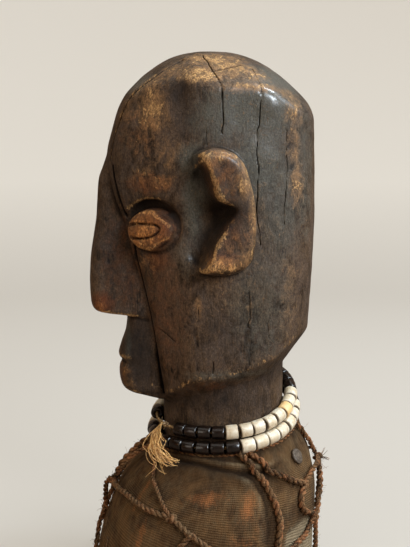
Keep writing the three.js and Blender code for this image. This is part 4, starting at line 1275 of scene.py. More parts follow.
class FigureLook(bpy.types.PropertyGroup):
    """Colours and other values of the finishes."""

    wood_dark: colour("Wood, dark", "Darkest brown of the polished wood", (0.012, 0.0072, 0.0040))
    wood_brown: colour("Wood, brown", "Usual brown of the wood", (0.074, 0.046, 0.026))
    wood_umber: colour("Wood, umber", "Lighter brown where the wood has been rubbed", (0.150, 0.088, 0.042))
    wood_red: colour("Wood, ruddy", "Red-brown of rubbed places", (0.165, 0.056, 0.018))
    # Grey-blue of the old polish, also used as a painted sheen of the window light.
    wood_polish_sheen: colour("Wood, haze", "Grey-blue of the old polish", (0.078, 0.078, 0.063))
    wood_tan: colour("Wood, tan", "Brown of worn edges", (0.25, 0.140, 0.062))
    wood_gold: colour("Wood, golden", "Bare golden wood", (0.52, 0.315, 0.125))
    wood_smoke: colour("Wood, smoky", "Grey-violet brown of the smoked wood", (0.088, 0.061, 0.044))
    wood_tint: colour("Wood, red tint", "Tint that turns golden wood ruddy", (1.0, 0.66, 0.42))
    # Near-black for the cracks, and for the painted shade in hollows and under things.
    wood_deep: colour("Wood, deep", "Near-black of cracks and hollows", (0.006, 0.004, 0.003))
    wood_polish: FloatProperty(name="Polish", default=0.33, min=0, max=1,
                               description="Roughness of the polished wood")
    cloth_dark: colour("Cloth, dark", "Darkest brown of the cloth", (0.045, 0.025, 0.012))
    cloth_brown: colour("Cloth, brown", "Usual brown of the cloth", (0.112, 0.062, 0.026))
    cloth_grey: colour("Cloth, grey", "Grey-brown of the dusty cloth", (0.105, 0.070, 0.036))
    cloth_pale: colour("Cloth, pale", "Greenish tan of the layer below", (0.25, 0.20, 0.125))
    cloth_rust: colour("Cloth, rust", "Rust-red stains", (0.29, 0.108, 0.036))
    weave_across: FloatProperty(name="Threads round", description="Threads round the cloth", default=330)
    weave_up: FloatProperty(name="Threads up", description="Ribs up the cloth's map", default=106)
    cord_dark: colour("Cord, dark", "Dark brown of the cord", (0.030, 0.015, 0.007))
    cord_brown: colour("Cord, brown", "Usual brown of the cord", (0.165, 0.088, 0.040))
    cord_red: colour("Cord, red", "Red-brown of rubbed cord", (0.32, 0.125, 0.050))
    cord_tan: colour("Cord, tan", "Light fibre ends of the cord", (0.34, 0.205, 0.095))
    cord_dust: colour("Cord, dust", "Dust on the cord", (0.17, 0.115, 0.065))
    straw: colour("Straw", "Bead string", (0.42, 0.26, 0.10))
    straw_light: colour("Straw, light", "Light fibres of the bead string", (0.62, 0.46, 0.24))
    raffia: colour("Raffia", "Golden fibre of the tuft", (0.74, 0.43, 0.13))
    raffia_light: colour("Raffia, light", "Light fibre of the tuft", (1.0, 0.75, 0.37))
    raffia_dark: colour("Raffia, dark", "Dark fibre of the tuft", (0.33, 0.15, 0.04))
    bead_black: colour("Bead, black", "Black beads", (0.004, 0.003, 0.0025))
    bead_brown: colour("Bead, brown", "Brown cast of the black beads", (0.014, 0.006, 0.004))
    bead_white: colour("Bead, white", "White beads", (0.66, 0.605, 0.475))
    bead_cream: colour("Bead, cream", "Cream cast of the white beads", (0.58, 0.48, 0.32))
    bead_stain: colour("Bead, stain", "Brown stains on the white beads", (0.45, 0.31, 0.17))
    bead_amber: colour("Bead, amber", "The amber bead", (0.78, 0.46, 0.13))
    # Grime at the beads' ends, together with painted shade at the ends and in the holes.
    bead_grime_and_shade: colour("Bead, grime", "Grime at the ends of the beads", (0.085, 0.05, 0.028))
    floor_colour: colour("Wall", "The pale wall's own tone", (0.345, 0.335, 0.315))
    ground_colour: colour("Ground", "The floor near the figure, which the lamps light most",
                          (0.175, 0.166, 0.155))
    backdrop_glow: colour("Backdrop glow", "The even light that the backdrop gives off", (0.44, 0.415, 0.365))
    bounce_colour: colour("Bounce", "What the floor and wall throw back onto the figure", (0.27, 0.20, 0.15))
    window_power: FloatProperty(name="Window light", default=15.0,
                                description="Strength of the cool light from behind")
    room_power: FloatProperty(name="Room light", default=1.2,
                              description="Strength of the even light of the room")


class FigureSettings(bpy.types.PropertyGroup):
    """All that a user would change."""

    sizes: PointerProperty(type=FigureSizes)
    look: PointerProperty(type=FigureLook)


def settings():
    figure = bpy.context.scene.carved_figure
    return figure.sizes, figure.look


# Pieces

def near_places(points, places, far_side=0.8):
    """How strongly each point is at one of the named places, on either side of the head."""
    total = np.zeros(len(points))
    across = np.abs(points[:, 0])
    for x, y, z, wide, tall, strength in places.values():
        away = ((across - x) / max(wide, 9)) ** 2 + ((points[:, 1] - y) / wide) ** 2
        away = away + ((points[:, 2] - z) / tall) ** 2
        total = np.maximum(total, strength * np.exp(-0.7 * away ** 1.5))
    return total * np.where(points[:, 0] < 0, far_side, 1)


def bulge_of(piece, rounds):
    """How far each point stands out from those round it: above nought on edges, below in hollows."""
    mesh = piece.data
    ends = np.empty(len(mesh.edges) * 2, np.int32)
    mesh.edges.foreach_get("vertices", ends)
    a, b = ends.reshape(-1, 2).T
    points = points_of(piece)
    normals = np.empty(len(points) * 3, np.float32)
    mesh.vertices.foreach_get("normal", normals)
    normals = normals.reshape(-1, 3)
    count = np.bincount(a, minlength=len(points)) + np.bincount(b, minlength=len(points))
    smooth = points.copy()
    for _ in range(rounds):
        total = np.zeros_like(smooth)
        for axis in range(3):
            total[:, axis] = np.bincount(a, smooth[b, axis], len(points))
            total[:, axis] += np.bincount(b, smooth[a, axis], len(points))
        smooth = 0.4 * smooth + 0.6 * total / np.maximum(count, 1)[:, None]
    return ((points - smooth) * normals).sum(axis=1)


WORN = {  # places rubbed down to golden wood: across, along, height, half length, half height, strength
    "temple": (26, -30, 238, 8, 11, 0.8), "front of crown": (22, -29, 250, 9, 7, 0.6),
    "brow corner": (14, -39, 241, 6, 10, 0.4), "forehead": (25, -33, 222, 10, 9, 0.24),
    "crown rim": (31, -8, 254, 12, 5, 1.0), "crown middle": (27, 5, 258, 12, 7, 0.95),
    "crown behind": (29, 17, 255, 9, 6, 0.75), "crown top": (20, 1, 263, 15, 6, 0.8),
    "crown notch": (23, -19, 257, 7, 6, 0.6), "above eye": (31, -24, 217, 8, 8, 0.4),
    "brow": (28, -26, 204, 8, 4, 0.5), "brow front": (22, -35, 207, 7, 5, 0.35),
    "back corner": (36, 36, 238, 6, 8, 0.65), "back edge": (37, 36, 222, 4, 14, 0.55),
    "back streak": (36, 38, 203, 4, 12, 0.6), "back rim": (33, 34, 245, 9, 5, 0.5),
    "side rim": (38, 14, 248, 18, 2.5, 0.75), "jaw streak": (37, -10, 143, 2, 7, 0.6),
    "below eye": (19, -31, 165, 8, 4, 0.4), "ear top": (52, 0, 216, 8, 3, 0.85),
    "ear back": (52, 10, 206, 4, 11, 0.85), "ear rim": (51, 14, 190, 3, 16, 0.7),
    "ear tip": (51, -5, 213, 6, 6, 0.6), "upper lobe": (49, 0, 206, 8, 8, 0.4),
    "ear foot": (52, -1, 166, 10, 3.5, 0.9), "ear heel": (51, 11, 168, 5, 5, 0.7),
    "lower lobe": (51, 4, 176, 8, 7, 0.32), "lips": (10, -43, 110, 4, 5, 0.5),
    "chin": (10, -41, 103, 5, 3, 0.45), "nose tip": (9, -55, 143, 4, 3, 0.4),
    "jaw, front": (33, -6, 108, 9, 2, 0.28), "jaw, middle": (37, 9, 114, 11, 2, 0.25),
    "jaw, back": (35, 25, 118, 10, 3, 0.3), "side split": (39, 15, 143, 1.5, 8, 0.4),
    "eye": (26, -36, 181, 10, 10, 0.85), "side": (39, 12, 180, 22, 45, 0.2),
    "side, back": (37, 35, 150, 6, 28, 0.28),
}
RUDDY = {
    "brow": (25, -31, 203, 12, 5, 0.5), "nose tip": (9, -54, 144, 6, 5, 0.95),
    "eye": (27, -33, 182, 13, 10, 0.9), "below eye": (24, -27, 166, 9, 6, 0.6),
    "lips": (4, -45, 107, 6, 6, 0.4), "upper lobe": (46, -2, 208, 8, 10, 0.5),
    "ear wall": (42, 3, 198, 5, 6, 0.45), "ear foot": (52, -1, 168, 8, 5, 0.5),
    "lower lobe": (50, 5, 182, 8, 9, 0.35), "forehead": (22, -36, 226, 12, 14, 0.2),
    "jaw": (31, -3, 105, 12, 4, 0.3), "nose side": (10, -42, 165, 12, 28, 0.3),
    "cheek": (24, -22, 140, 12, 30, 0.45),
}
# Places with a grey-blue old polish that is also painted sheen, the window light's reflection on the side
# plane and on the banks that face it: across, along, height, half length, half height, strength.
HAZE_AND_SHEEN = {
    "side, top": (39, 16, 237, 22, 12, 0.95), "side, middle": (40, 20, 214, 12, 20, 0.85),
    "side, back": (39, 29, 196, 11, 30, 0.6), "side, low": (39, 21, 148, 15, 29, 0.45),
    "hollow before ear": (37, -11, 198, 5, 20, 1.0), "hollow, top": (36, -13, 214, 6, 7, 0.8),
    "above ear": (39, 1, 233, 14, 11, 0.7), "crown behind": (26, 30, 253, 17, 9, 0.7),
    "lower lobe": (53, 9, 183, 3, 6, 0.4), "muzzle": (8, -41, 127, 1.5, 13, 0.6),
    "back": (36, 41, 212, 9, 34, 0.45), "cheek": (33, -17, 168, 7, 12, 0.3),
    "crown, front": (12, -34, 251, 8, 6, 0.6), "cheek plane": (25, -20, 140, 10, 30, 0.4),
    "jaw band": (36, 5, 111, 22, 3, 0.4),
}
GLOSSY = {
    "corner of the crown": (38, 25, 242, 7, 6, 1.0), "below the corner": (39, 21, 228, 8, 14, 0.6),
    "crown behind": (29, 30, 251, 9, 5, 0.5), "ear top": (52, 4, 214, 9, 5, 0.2),
}
# Places darkened towards near-black through the hollow attribute: some grime, and painted shade in recesses
# and on faces turned from the light, such as the ear's hollow, the eye socket, the nose side, the muzzle and
# below the jaw. Each is across, along, height, half length, half height, strength.
SOOT_AND_SHADE = {
    "crown dip": (34, -18, 246, 5, 9, 0.75), "below dip": (35, -15, 233, 5, 8, 0.5),
    "ear hollow": (40, 0, 190, 9, 19, 1.0), "ear notch": (45, 5, 190, 7, 6, 0.95),
    "ear hollow, top": (41, -4, 204, 5, 9, 0.8), "ear front": (42, -8, 207, 5, 9, 0.9),
    "ear front, low": (38, -3, 178, 6, 12, 0.85), "socket": (16, -29, 194, 12, 3, 0.8),
    "socket corner": (25, -19, 190, 6, 5, 0.7), "cheek": (16, -30, 148, 9, 22, 0.2),
    "nose side": (10, -44, 175, 11, 40, 0.52), "muzzle": (11, -36, 118, 8, 20, 0.85),
    "neck": (33, 5, 96, 20, 7, 0.5), "lobe": (49, -3, 203, 6, 8, 0.4),
    "side, front": (38, 0, 130, 10, 16, 0.3),
}


class FIGURE_OT_carving(bpy.types.Operator):
    """The head, the ears, the eyes, the neck and the trunk, carved from one block"""

    bl_idname = "figure.carving"
    bl_label = "Carve the wooden figure"

    def execute(self, context):
        sizes, look = settings()
        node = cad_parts["carved_figure"]
        piece = bpy.data.objects.new("wooden_figure", node.data.copy())
        context.scene.collection.objects.link(piece)
        edit_all(piece)
        bpy.ops.mesh.remove_doubles(threshold=0.00001)
        bpy.ops.object.mode_set(mode="OBJECT")
        for size in (1.7 * sizes.carving_step, sizes.carving_step, sizes.carving_step):
            apply_modifier(piece, "REMESH", mode="VOXEL", voxel_size=size, adaptivity=0)
            set_points(piece, self.carved(points_of(piece)))
            apply_modifier(piece, "SMOOTH", factor=0.5, iterations=2)
        self.cut_off_trunk(piece)
        cracks = crack_lines()
        self.refine_cracks(piece, cracks)
        self.finish_surface(piece, cracks)
        self.add_trunk(piece)
        self.place_wear(piece)
        finish_piece(piece, material_named(look, "handled_wood"), "wood", "carved_figure")
        return {"FINISHED"}

    def carved(self, points):
        """Carves the points that are above the wrap."""
        above = points[:, 2] > 70
        points[above] = onto(carving, points[above], 3, 1.5)
        return points

    def collar_plane(self):
        """A point and a direction of the slanting cut below the collar's edge."""
        middle = Vector((0, STRAND["y"], 76.4))
        return middle, Vector((5.5 / 33.3, -7.5 / 33.7, 1)).normalized()

    def cut_off_trunk(self, piece):
        middle, up = self.collar_plane()
        edit_all(piece)
        bpy.ops.mesh.bisect(plane_co=middle * MM, plane_no=up, clear_inner=True, clear_outer=False)
        bpy.ops.object.mode_set(mode="OBJECT")

    def refine_cracks(self, piece, cracks):
        """Makes the faces smaller beside the cracks, the creases and the eyes' grooves."""
        for reach in (2.0, 1.2):
            points = points_of(piece)
            near = np.zeros(len(points), bool)
            for _, _, line in cracks:
                near |= to_line(points, line) < reach
            mirrored = points * (-1, 1, 1)
            for side in (points, mirrored):
                near |= to_line(side, crease_line()) < reach + 0.6
            along, up, out = on_cheek(np.abs(points[:, 0]), points[:, 1], points[:, 2])
            near |= (np.hypot(along / 12, up / 7) < 1) & (out > 2) & (points[:, 1] < 0)
            select_faces(piece, lambda polygon: near[list(polygon.vertices)].all())
            bpy.ops.mesh.subdivide(number_cuts=1)
            leave_edit_mode()

    def finish_surface(self, piece, cracks):
        """Settles the points on the carved form, then cuts in the tool marks and the cracks."""
        points = onto(carving, points_of(piece), 4, 1.0)
        slope = slope_of(carving, points)
        slope /= np.maximum(np.linalg.norm(slope, axis=1), 0.3)[:, None]
        lines = []
        for breadth, depth, line in cracks:
            lines.append((breadth, depth, onto(carving, resampled(line, 3), 12, 2.0)))
        deep = crack_depth(points, lines)
        shown = points.copy()
        shown -= slope * (tool_marks(points) * 0.55)[:, None]
        shown -= slope * deep[:, None]
        set_points(piece, shown)
        self.deep = deep

    def add_trunk(self, piece):
        """Draws the cut edge down inside the wrap, ring by ring, and closes it flat."""
        count = len(piece.data.vertices)
        take(piece)
        bpy.ops.object.mode_set(mode="EDIT")
        bpy.ops.mesh.select_all(action="DESELECT")
        bpy.ops.mesh.select_mode(type="EDGE")
        bpy.ops.mesh.select_non_manifold(extend=False, use_wire=False, use_multi_face=False, use_verts=False)
        for level in (6.3, 5.6, 4.8, 4, 3, 2, 1, 0):
            bpy.ops.mesh.extrude_region_move()
            bpy.ops.object.mode_set(mode="OBJECT")
            chosen = np.zeros(len(piece.data.vertices), bool)
            piece.data.vertices.foreach_get("select", chosen)
            points = points_of(piece)
            ring = points[chosen]
            y, deep, _, _, half = ring_at(np.full(len(ring), float(level)))
            degrees = np.degrees(np.arctan2((ring[:, 1] - y) / deep, ring[:, 0] / half))
            moved = wrap_point(np.full(len(ring), float(level)), degrees, -TRUNK_INSET)
            if level == 0:
                moved[:, 2] = 0
            points[chosen] = moved
            set_points(piece, points)
            bpy.ops.object.mode_set(mode="EDIT")
        bpy.ops.mesh.edge_face_add()
        bpy.ops.mesh.select_mode(type="VERT")
        bpy.ops.mesh.select_all(action="SELECT")
        bpy.ops.mesh.normals_make_consistent(inside=False)
        bpy.ops.object.mode_set(mode="OBJECT")
        self.deep = np.concatenate([self.deep, np.zeros(len(piece.data.vertices) - count)])
        bpy.ops.object.shade_smooth_by_angle(angle=math.radians(50))

    def place_wear(self, piece):
        """Stores where the wood is worn, hazed with a painted sheen, cracked, and darkened by grime and
        painted shade, for its material.
        """
        points = points_of(piece)
        stands = bulge_of(piece, 6)
        along, up, out = on_cheek(np.abs(points[:, 0]), points[:, 1], points[:, 2])
        on_disc = (np.hypot(along / EYE["long"], up / EYE["tall"]) < 1.02) & (out > 2.5) & (points[:, 1] < 0)
        lids = lid_grooves(along, up, 0.6) * on_disc
        slant = eye_slant(along, up)
        # On the eye the bevel is painted darker below than above, as painted shade, and a pale line along its
        # ridge goes into the edge attribute as wear and a painted highlight.
        bevel = smooth_step(0.03, 0.13, slant) * np.where(up < 0, 0.95, 0.6)
        soot_and_shade = np.where(on_disc, bevel, near_places(points, SOOT_AND_SHADE))
        ridge = np.exp(-((slant + 0.06) / 0.12) ** 2) * smooth_step(-6, 0, along) * 0.8 * on_disc
        above = points[:, 2] - jaw_floor(np.abs(points[:, 0]), points[:, 1])
        on_jaw = (points[:, 2] < 130) & (points[:, 1] > -30)
        jaw = 0.5 * smooth_step(0.2, 1.0, above) * smooth_step(4.0, 1.8, above) * on_jaw
        # under is a darker band below the jaw's edge: painted shade.
        under = 0.5 * smooth_step(0.6, -0.3, above) * smooth_step(-9, -2, above) * on_jaw
        keep_value(piece, "edge", np.maximum(smooth_step(0.05, 0.5, stands) * 0.95, np.maximum(ridge, jaw)))
        # The hollow value darkens recesses found from the mesh's own bulge, the eye's bevel, the places above
        # and the band under the jaw: painted shade, with some grime.
        keep_value(piece, "hollow", 0.8 * smooth_step(0.06, 0.6, -stands) + np.maximum(soot_and_shade, under))
        # Cracks are painted near-black; the creases beside the nose and the eye's lid grooves in the same
        # mask are painted shade in grooves.
        keep_value(piece, "crack", np.maximum(smooth_step(0.2, 0.8, self.deep), 0.95 * lids))
        keep_value(piece, "gloss", near_places(points, GLOSSY))
        keep_value(piece, "golden", near_places(points, WORN))
        keep_value(piece, "ruddy", near_places(points, RUDDY))
        keep_value(piece, "haze_and_sheen", near_places(points, HAZE_AND_SHEEN))
        keep_value(piece, "matt", smooth_step(106, 98, points[:, 2]) + smooth_step(-36, -48, points[:, 1]))


class FIGURE_OT_cloth(bpy.types.Operator):
    """The woven cloth wrapped round the trunk and gathered to a pleated collar"""

    bl_idname = "figure.cloth"
    bl_label = "Wrap the cloth"

    def execute(self, context):
        sizes, look = settings()
        columns, outer, inner = sizes.cloth_columns, sizes.cloth_rows, 10
        deselect_all()
        bpy.ops.mesh.primitive_grid_add(x_subdivisions=columns, y_subdivisions=outer + inner + 1, size=2)
        piece = context.active_object
        piece.name = "gathered_cloth"
        flat = points_of(piece) * MM
        column = np.rint((flat[:, 0] + 1) / 2 * columns)
        row = np.rint((flat[:, 1] + 1) / 2 * (outer + inner + 1))
        degrees = column / columns * 360 - 180
        outside = (row <= outer) | (row > outer + inner)
        level = np.where(row <= outer, row / outer * COLLAR, (outer + inner - row) / (inner - 1) * COLLAR)
        level = np.clip(np.where(row > outer + inner, 0, level), 0, COLLAR)
        lift = np.where(outside, cloth_lift(level, degrees), -WRAP_THICKNESS)
        points = wrap_point(level, degrees, lift)
        points[level == 0, 2] = 0
        set_points(piece, points)

        edit_all(piece)
        bpy.ops.mesh.remove_doubles(threshold=0.00002)
        bpy.ops.mesh.normals_make_consistent(inside=False)
        bpy.ops.object.mode_set(mode="OBJECT")
        bpy.ops.object.shade_smooth()
        self.place_stains(piece)
        finish_piece(piece, material_named(look, "grimy_cloth"), "cloth", "cloth_wrap")
        return {"FINISHED"}

    def place_stains(self, piece):
        """Stores the rust, the pale layer, the rubbed ridges with a painted highlight along the roll, and
        painted shade in the folds and under the beads.
        """
        points = points_of(piece)
        level, degrees = self.unwrapped(points)
        rust = np.zeros(len(points))
        for angle, height, wide, tall, strength in STAINS:
            away = (off_angle(degrees, angle) / wide) ** 2 + ((level - height) / tall) ** 2
            rust = np.maximum(rust, strength * np.exp(-away))
        stands = bulge_of(piece, 10)
        keep_value(piece, "rust", rust)
        keep_value(piece, "pale", under_layer(level, degrees))
        # Painted shade: darker under the beads and in the crease below the collar's roll.
        shade_under_beads = 0.9 * smooth_step(5.6, 7.0, level)
        front, shown = collar_roll(degrees)
        # A painted highlight along the top of the collar's roll, stored with the rubbed ridges.
        edge = shown * 0.5 * np.exp(-((level - front - 0.05) / 0.14) ** 2)
        shade_under_beads += shown * 0.75 * np.exp(-((level - front + 0.45) / 0.24) ** 2)
        shade_under_beads += shown * 0.35 * np.exp(-((level - front + 0.9) / 0.5) ** 2)
        keep_value(piece, "ridge", smooth_step(0.08, 0.6, stands) * smooth_step(6.6, 5.8, level) + edge)
        # Recesses of the cloth and the band under the beads darkened: painted shade.
        keep_value(piece, "hollow", smooth_step(0.05, 0.5, -stands) + shade_under_beads)

    def unwrapped(self, points):
        """Level and angle of points on the wrap, from its rings."""
        levels = np.linspace(0, COLLAR, 161)
        y, deep, _, _, half = ring_at(levels)
        guess = np.full(len(points), 4.0)
        for _ in range(6):
            middle, reach, wide = (np.interp(guess, levels, values) for values in (y, deep, half))
            degrees = np.degrees(np.arctan2((points[:, 1] - middle) / reach, points[:, 0] / wide))
            heights = wrap_flat(guess, degrees)[:, 2]
            above, below = np.minimum(guess + 0.05, COLLAR), np.maximum(guess - 0.05, 0)
            rise = wrap_flat(above, degrees)[:, 2] - wrap_flat(below, degrees)[:, 2]
            guess = np.clip(guess + (points[:, 2] - heights) / np.maximum(rise, 0.15) * 0.1, 0, COLLAR)
        return guess, degrees


class FIGURE_OT_net(bpy.types.Operator):
    """The net of two-ply cord that is knotted over the cloth"""

    bl_idname = "figure.net"
    bl_label = "Knot the net"

    def execute(self, context):
        sizes, look = settings()
        self.random = np.random.default_rng(7)
        self.pitch = sizes.cord_twist / MM
        self.tubes = Tubes()
        circle = np.arange(0, 361, 6.0)
        lift = NECK_CORD_LIFT + 0.5 * np.exp(-(off_angle(circle, -35) / 32) ** 2)
        collar = self.net_points(np.column_stack([circle, np.full(len(circle), NECK_CORD), lift]))
        twist(self.tubes, collar, 0.9, self.pitch, self.random)
        for radius, *stops in NET_CORDS:
            path = self.cord_path(stops)
            twist(self.tubes, path, radius, self.pitch * radius / 1.4, self.random)
            self.fray(path, radius)
        for name in NET_KNOTS:
            self.knot(self.net_points(np.array([self.stop(name)]))[0], 2.1)
        self.hang_fibres()
        piece = self.tubes.piece("knotted_net")
        points = points_of(piece)
        points[:, 2] = np.maximum(points[:, 2], NET_FLOOR)
        set_points(piece, points)
        grey = smooth_step(64, 54, points[:, 2]) * smooth_step(-2, -14, points[:, 1]) * (points[:, 0] > 0)
        keep_value(piece, "grey", grey)
        finish_piece(piece, material_named(look, "twisted_cord"), "cord", "cord_net")
        return {"FINISHED"}

    def stop(self, stop):
        """A knot's name, or an angle, a level and perhaps a lift, as all three numbers."""
        values = NET_KNOTS[stop] if isinstance(stop, str) else stop
        return (*values[:2], values[2] if len(values) > 2 else LYING)

    def net_points(self, stops):
        degrees, level, lift = np.asarray(stops, float).T
        return wrap_point(level, degrees, lift + cloth_lift(level, degrees))

    def cord_path(self, stops):
        """A cord keeps to the cloth between its stops."""
        stops = [list(self.stop(stop)) for stop in stops]
        for before, after in zip(stops[:-1], stops[1:]):
            after[0] -= 360 * round((after[0] - before[0]) / 360)
        at = np.linspace(0, len(stops) - 1, (len(stops) - 1) * 10 + 1)
        path = self.net_points(through(stops, at))
        wander = 0.35 * np.column_stack([lumps(path, 7, 51 + axis) for axis in range(3)])
        return path + wander

    def knot(self, centre, size):
        """A tight knot: a cord that passes three times round itself."""
        angle = self.random.uniform(0, 6)
        spin = Matrix.Rotation(angle, 3, Vector(self.random.standard_normal(3)).normalized())
        loop = knot_loop(40, 1.3) @ np.array(spin).T * size / 3 * self.random.uniform(0.85, 1.15)
        self.tubes.add(centre + loop, 0.8 * size / 2, 7)
        for _ in range(10):
            way = self.random.standard_normal(3)
            fibre(self.tubes, centre, way, self.random.uniform(2.5, 5), 0.16, self.random)

    def fray(self, path, radius):
        """Short fibres that stand off a cord."""
        line = resampled(path, 1.0)
        middle = np.array([0, STRAND["y"], 40])
        for point in line:
            away = point - middle
            way = away / np.linalg.norm(away) * 0.5 + self.random.standard_normal(3)
            long = radius * self.random.uniform(1.1, 2.1)
            fibre(self.tubes, point, way, long, 0.09, self.random, 0.8, 3, 4)

    def hang_fibres(self):
        """Frayed ends: below the front knot, and from the stub at the back."""
        start = self.net_points(np.array([self.stop("front")]))[0]
        for _ in range(16):
            way = np.array([self.random.uniform(-0.1, 0.5), self.random.uniform(-0.25, 0.25), -1])
            fibre(self.tubes, start, way, self.random.uniform(14, 30), 0.2, self.random, 0.25, 3, 9)
        for angle, level in ((-88, 2.4), (-80, 1.9), (-72, 1.5), (-84, 1.2)):
            start = self.net_points(np.array([[angle, level, 1.2]]))[0]
            for _ in range(5):
                way = np.array([self.random.uniform(-0.2, 0.4), self.random.uniform(-0.3, 0.1), -1])
                fibre(self.tubes, start, way, self.random.uniform(9, 20), 0.18, self.random, 0.3, 3, 8)
        start = self.net_points(np.array([self.stop("back")]))[0]
        for _ in range(8):
            way = np.array([self.random.uniform(-0.3, 0.3), 1, self.random.uniform(-0.2, 0.6)])
            fibre(self.tubes, start, way, 6, 0.22, self.random)


def strand_point(strand, degrees):
    turn = np.radians(degrees)
    slant = STRAND["roll"] * np.cos(turn) + STRAND["pitch"] * np.sin(turn) + STRAND["wave"] * np.sin(2 * turn)
    across, y = strand["radius"] * np.cos(turn), STRAND["y"] + strand["radius"] * np.sin(turn)
    return np.stack([across, y, strand["z"] + slant], axis=-1)


class FIGURE_OT_beads(bpy.types.Operator):
    """The two strands of black and cream beads"""

    bl_idname = "figure.beads"
    bl_label = "Thread the beads"

    def execute(self, context):
        self.random = np.random.default_rng(19)
        for strand in (UPPER, LOWER):
            pattern = self.one_bead(strand)
            self.thread(strand, pattern)
            bpy.data.objects.remove(pattern)
        return {"FINISHED"}

    def one_bead(self, strand):
        """A short cylinder with a hole and softened rims, standing on the origin."""
        sizes, _ = settings()
        deselect_all()
        bpy.ops.mesh.primitive_cylinder_add(vertices=28, radius=sizes.bead_radius,
                                            depth=strand["step"] * MM - sizes.bead_gap)
        piece = bpy.context.active_object
        select_faces(piece, lambda polygon: abs(polygon.normal.z) > 0.9)
        bpy.ops.mesh.inset(thickness=sizes.bead_radius - sizes.bead_hole, depth=0)
        bpy.ops.mesh.bridge_edge_loops()
        leave_edit_mode()
        apply_modifier(piece, "BEVEL", width=0.00062, segments=3, limit_method="ANGLE",
                       angle_limit=math.radians(40))
        edit_all(piece)
        bpy.ops.mesh.normals_make_consistent(inside=False)
        bpy.ops.object.mode_set(mode="OBJECT")
        return piece

    def bead(self, pattern, name, place, along, tone, radius_scale):
        """A copy of the bead, a little out of round, turned to its place on the string."""
        piece = pattern.copy()
        piece.data = pattern.data.copy()
        piece.name = name
        bpy.context.scene.collection.objects.link(piece)
        points = points_of(piece)
        half = np.abs(points[:, 2]).max()
        reach = np.hypot(points[:, 0], points[:, 1])
        turn = np.arctan2(points[:, 1], points[:, 0])
        # The ends and the hole are stored as hollow: grime at the ends, and painted shade where a bead meets
        # the next and down its hole.
        at_end = smooth_step(0.80, 1.0, np.abs(points[:, 2]) / half)
        keep_value(piece, "hollow", at_end * smooth_step(3.5, 2.6, reach) + (reach < 1.6))
        keep_value(piece, "amber", np.full(len(points), 1.0 if tone == "amber" else 0.0))
        shift = self.random.uniform(0, 40, 3)
        skew = 0.13 * np.cos(turn + self.random.uniform(0, 6)) * self.random.uniform(-1, 1)
        points[:, 2] *= 1 + skew * 0.5 + self.random.uniform(-0.05, 0.0)
        swell = radius_scale * (1 + 0.03 * lumps(points + shift, 2.6, 61) + 0.02 * self.random.uniform(-1, 1))
        points[:, :2] *= (swell * (1 - 0.03 * (points[:, 2] / half) ** 2))[:, None]
        tilt = Vector(along) + Vector(self.random.normal(0, 0.045, 3))
        spin = Matrix.Rotation(self.random.uniform(0, 6), 3, "Z")
        turn = np.array(tilt.to_track_quat("Z", "Y").to_matrix()) @ np.array(spin)
        set_points(piece, points @ turn.T + place + self.random.normal(0, 0.12, 3))
        take(piece)
        bpy.ops.object.shade_smooth_by_angle(angle=math.radians(40))
        return piece

    def glazes(self, tone):
        """A bead's material and its slot."""
        _, look = settings()
        if tone == "black":
            return material_named(look, "black_glass"), "black_bead"
        return material_named(look, "cream_glaze"), "white_bead"

    def thread(self, strand, pattern):
        each = math.degrees(strand["step"] / strand["radius"])
        degrees, number = strand["start"], 1
        for tone, count in strand["runs"]:
            for i in range(count):
                start, place, end = strand_point(strand, degrees + each * np.array([0, 0.5, 1]))
                along = end - start
                shade = "black" if tone == "far" and i % 7 < 4 else "white" if tone == "far" else tone
                if strand["name"] == "upper" and tone == "white" and i == 5:
                    shade = "amber"
                scale = 1.0 if shade == "black" else 1.04
                far = tone == "far"
                label = f"far_{i + 1:02d}" if far else f"{number:02d}"
                piece = self.bead(pattern, f"{strand['name']}_bead_{label}", place, along, shade, scale)
                node = f"beads_{strand['name']}_far" if far else f"bead_{strand['name']}_{label}"
                finish_piece(piece, *self.glazes(shade), node)
                number += not far
                degrees += each


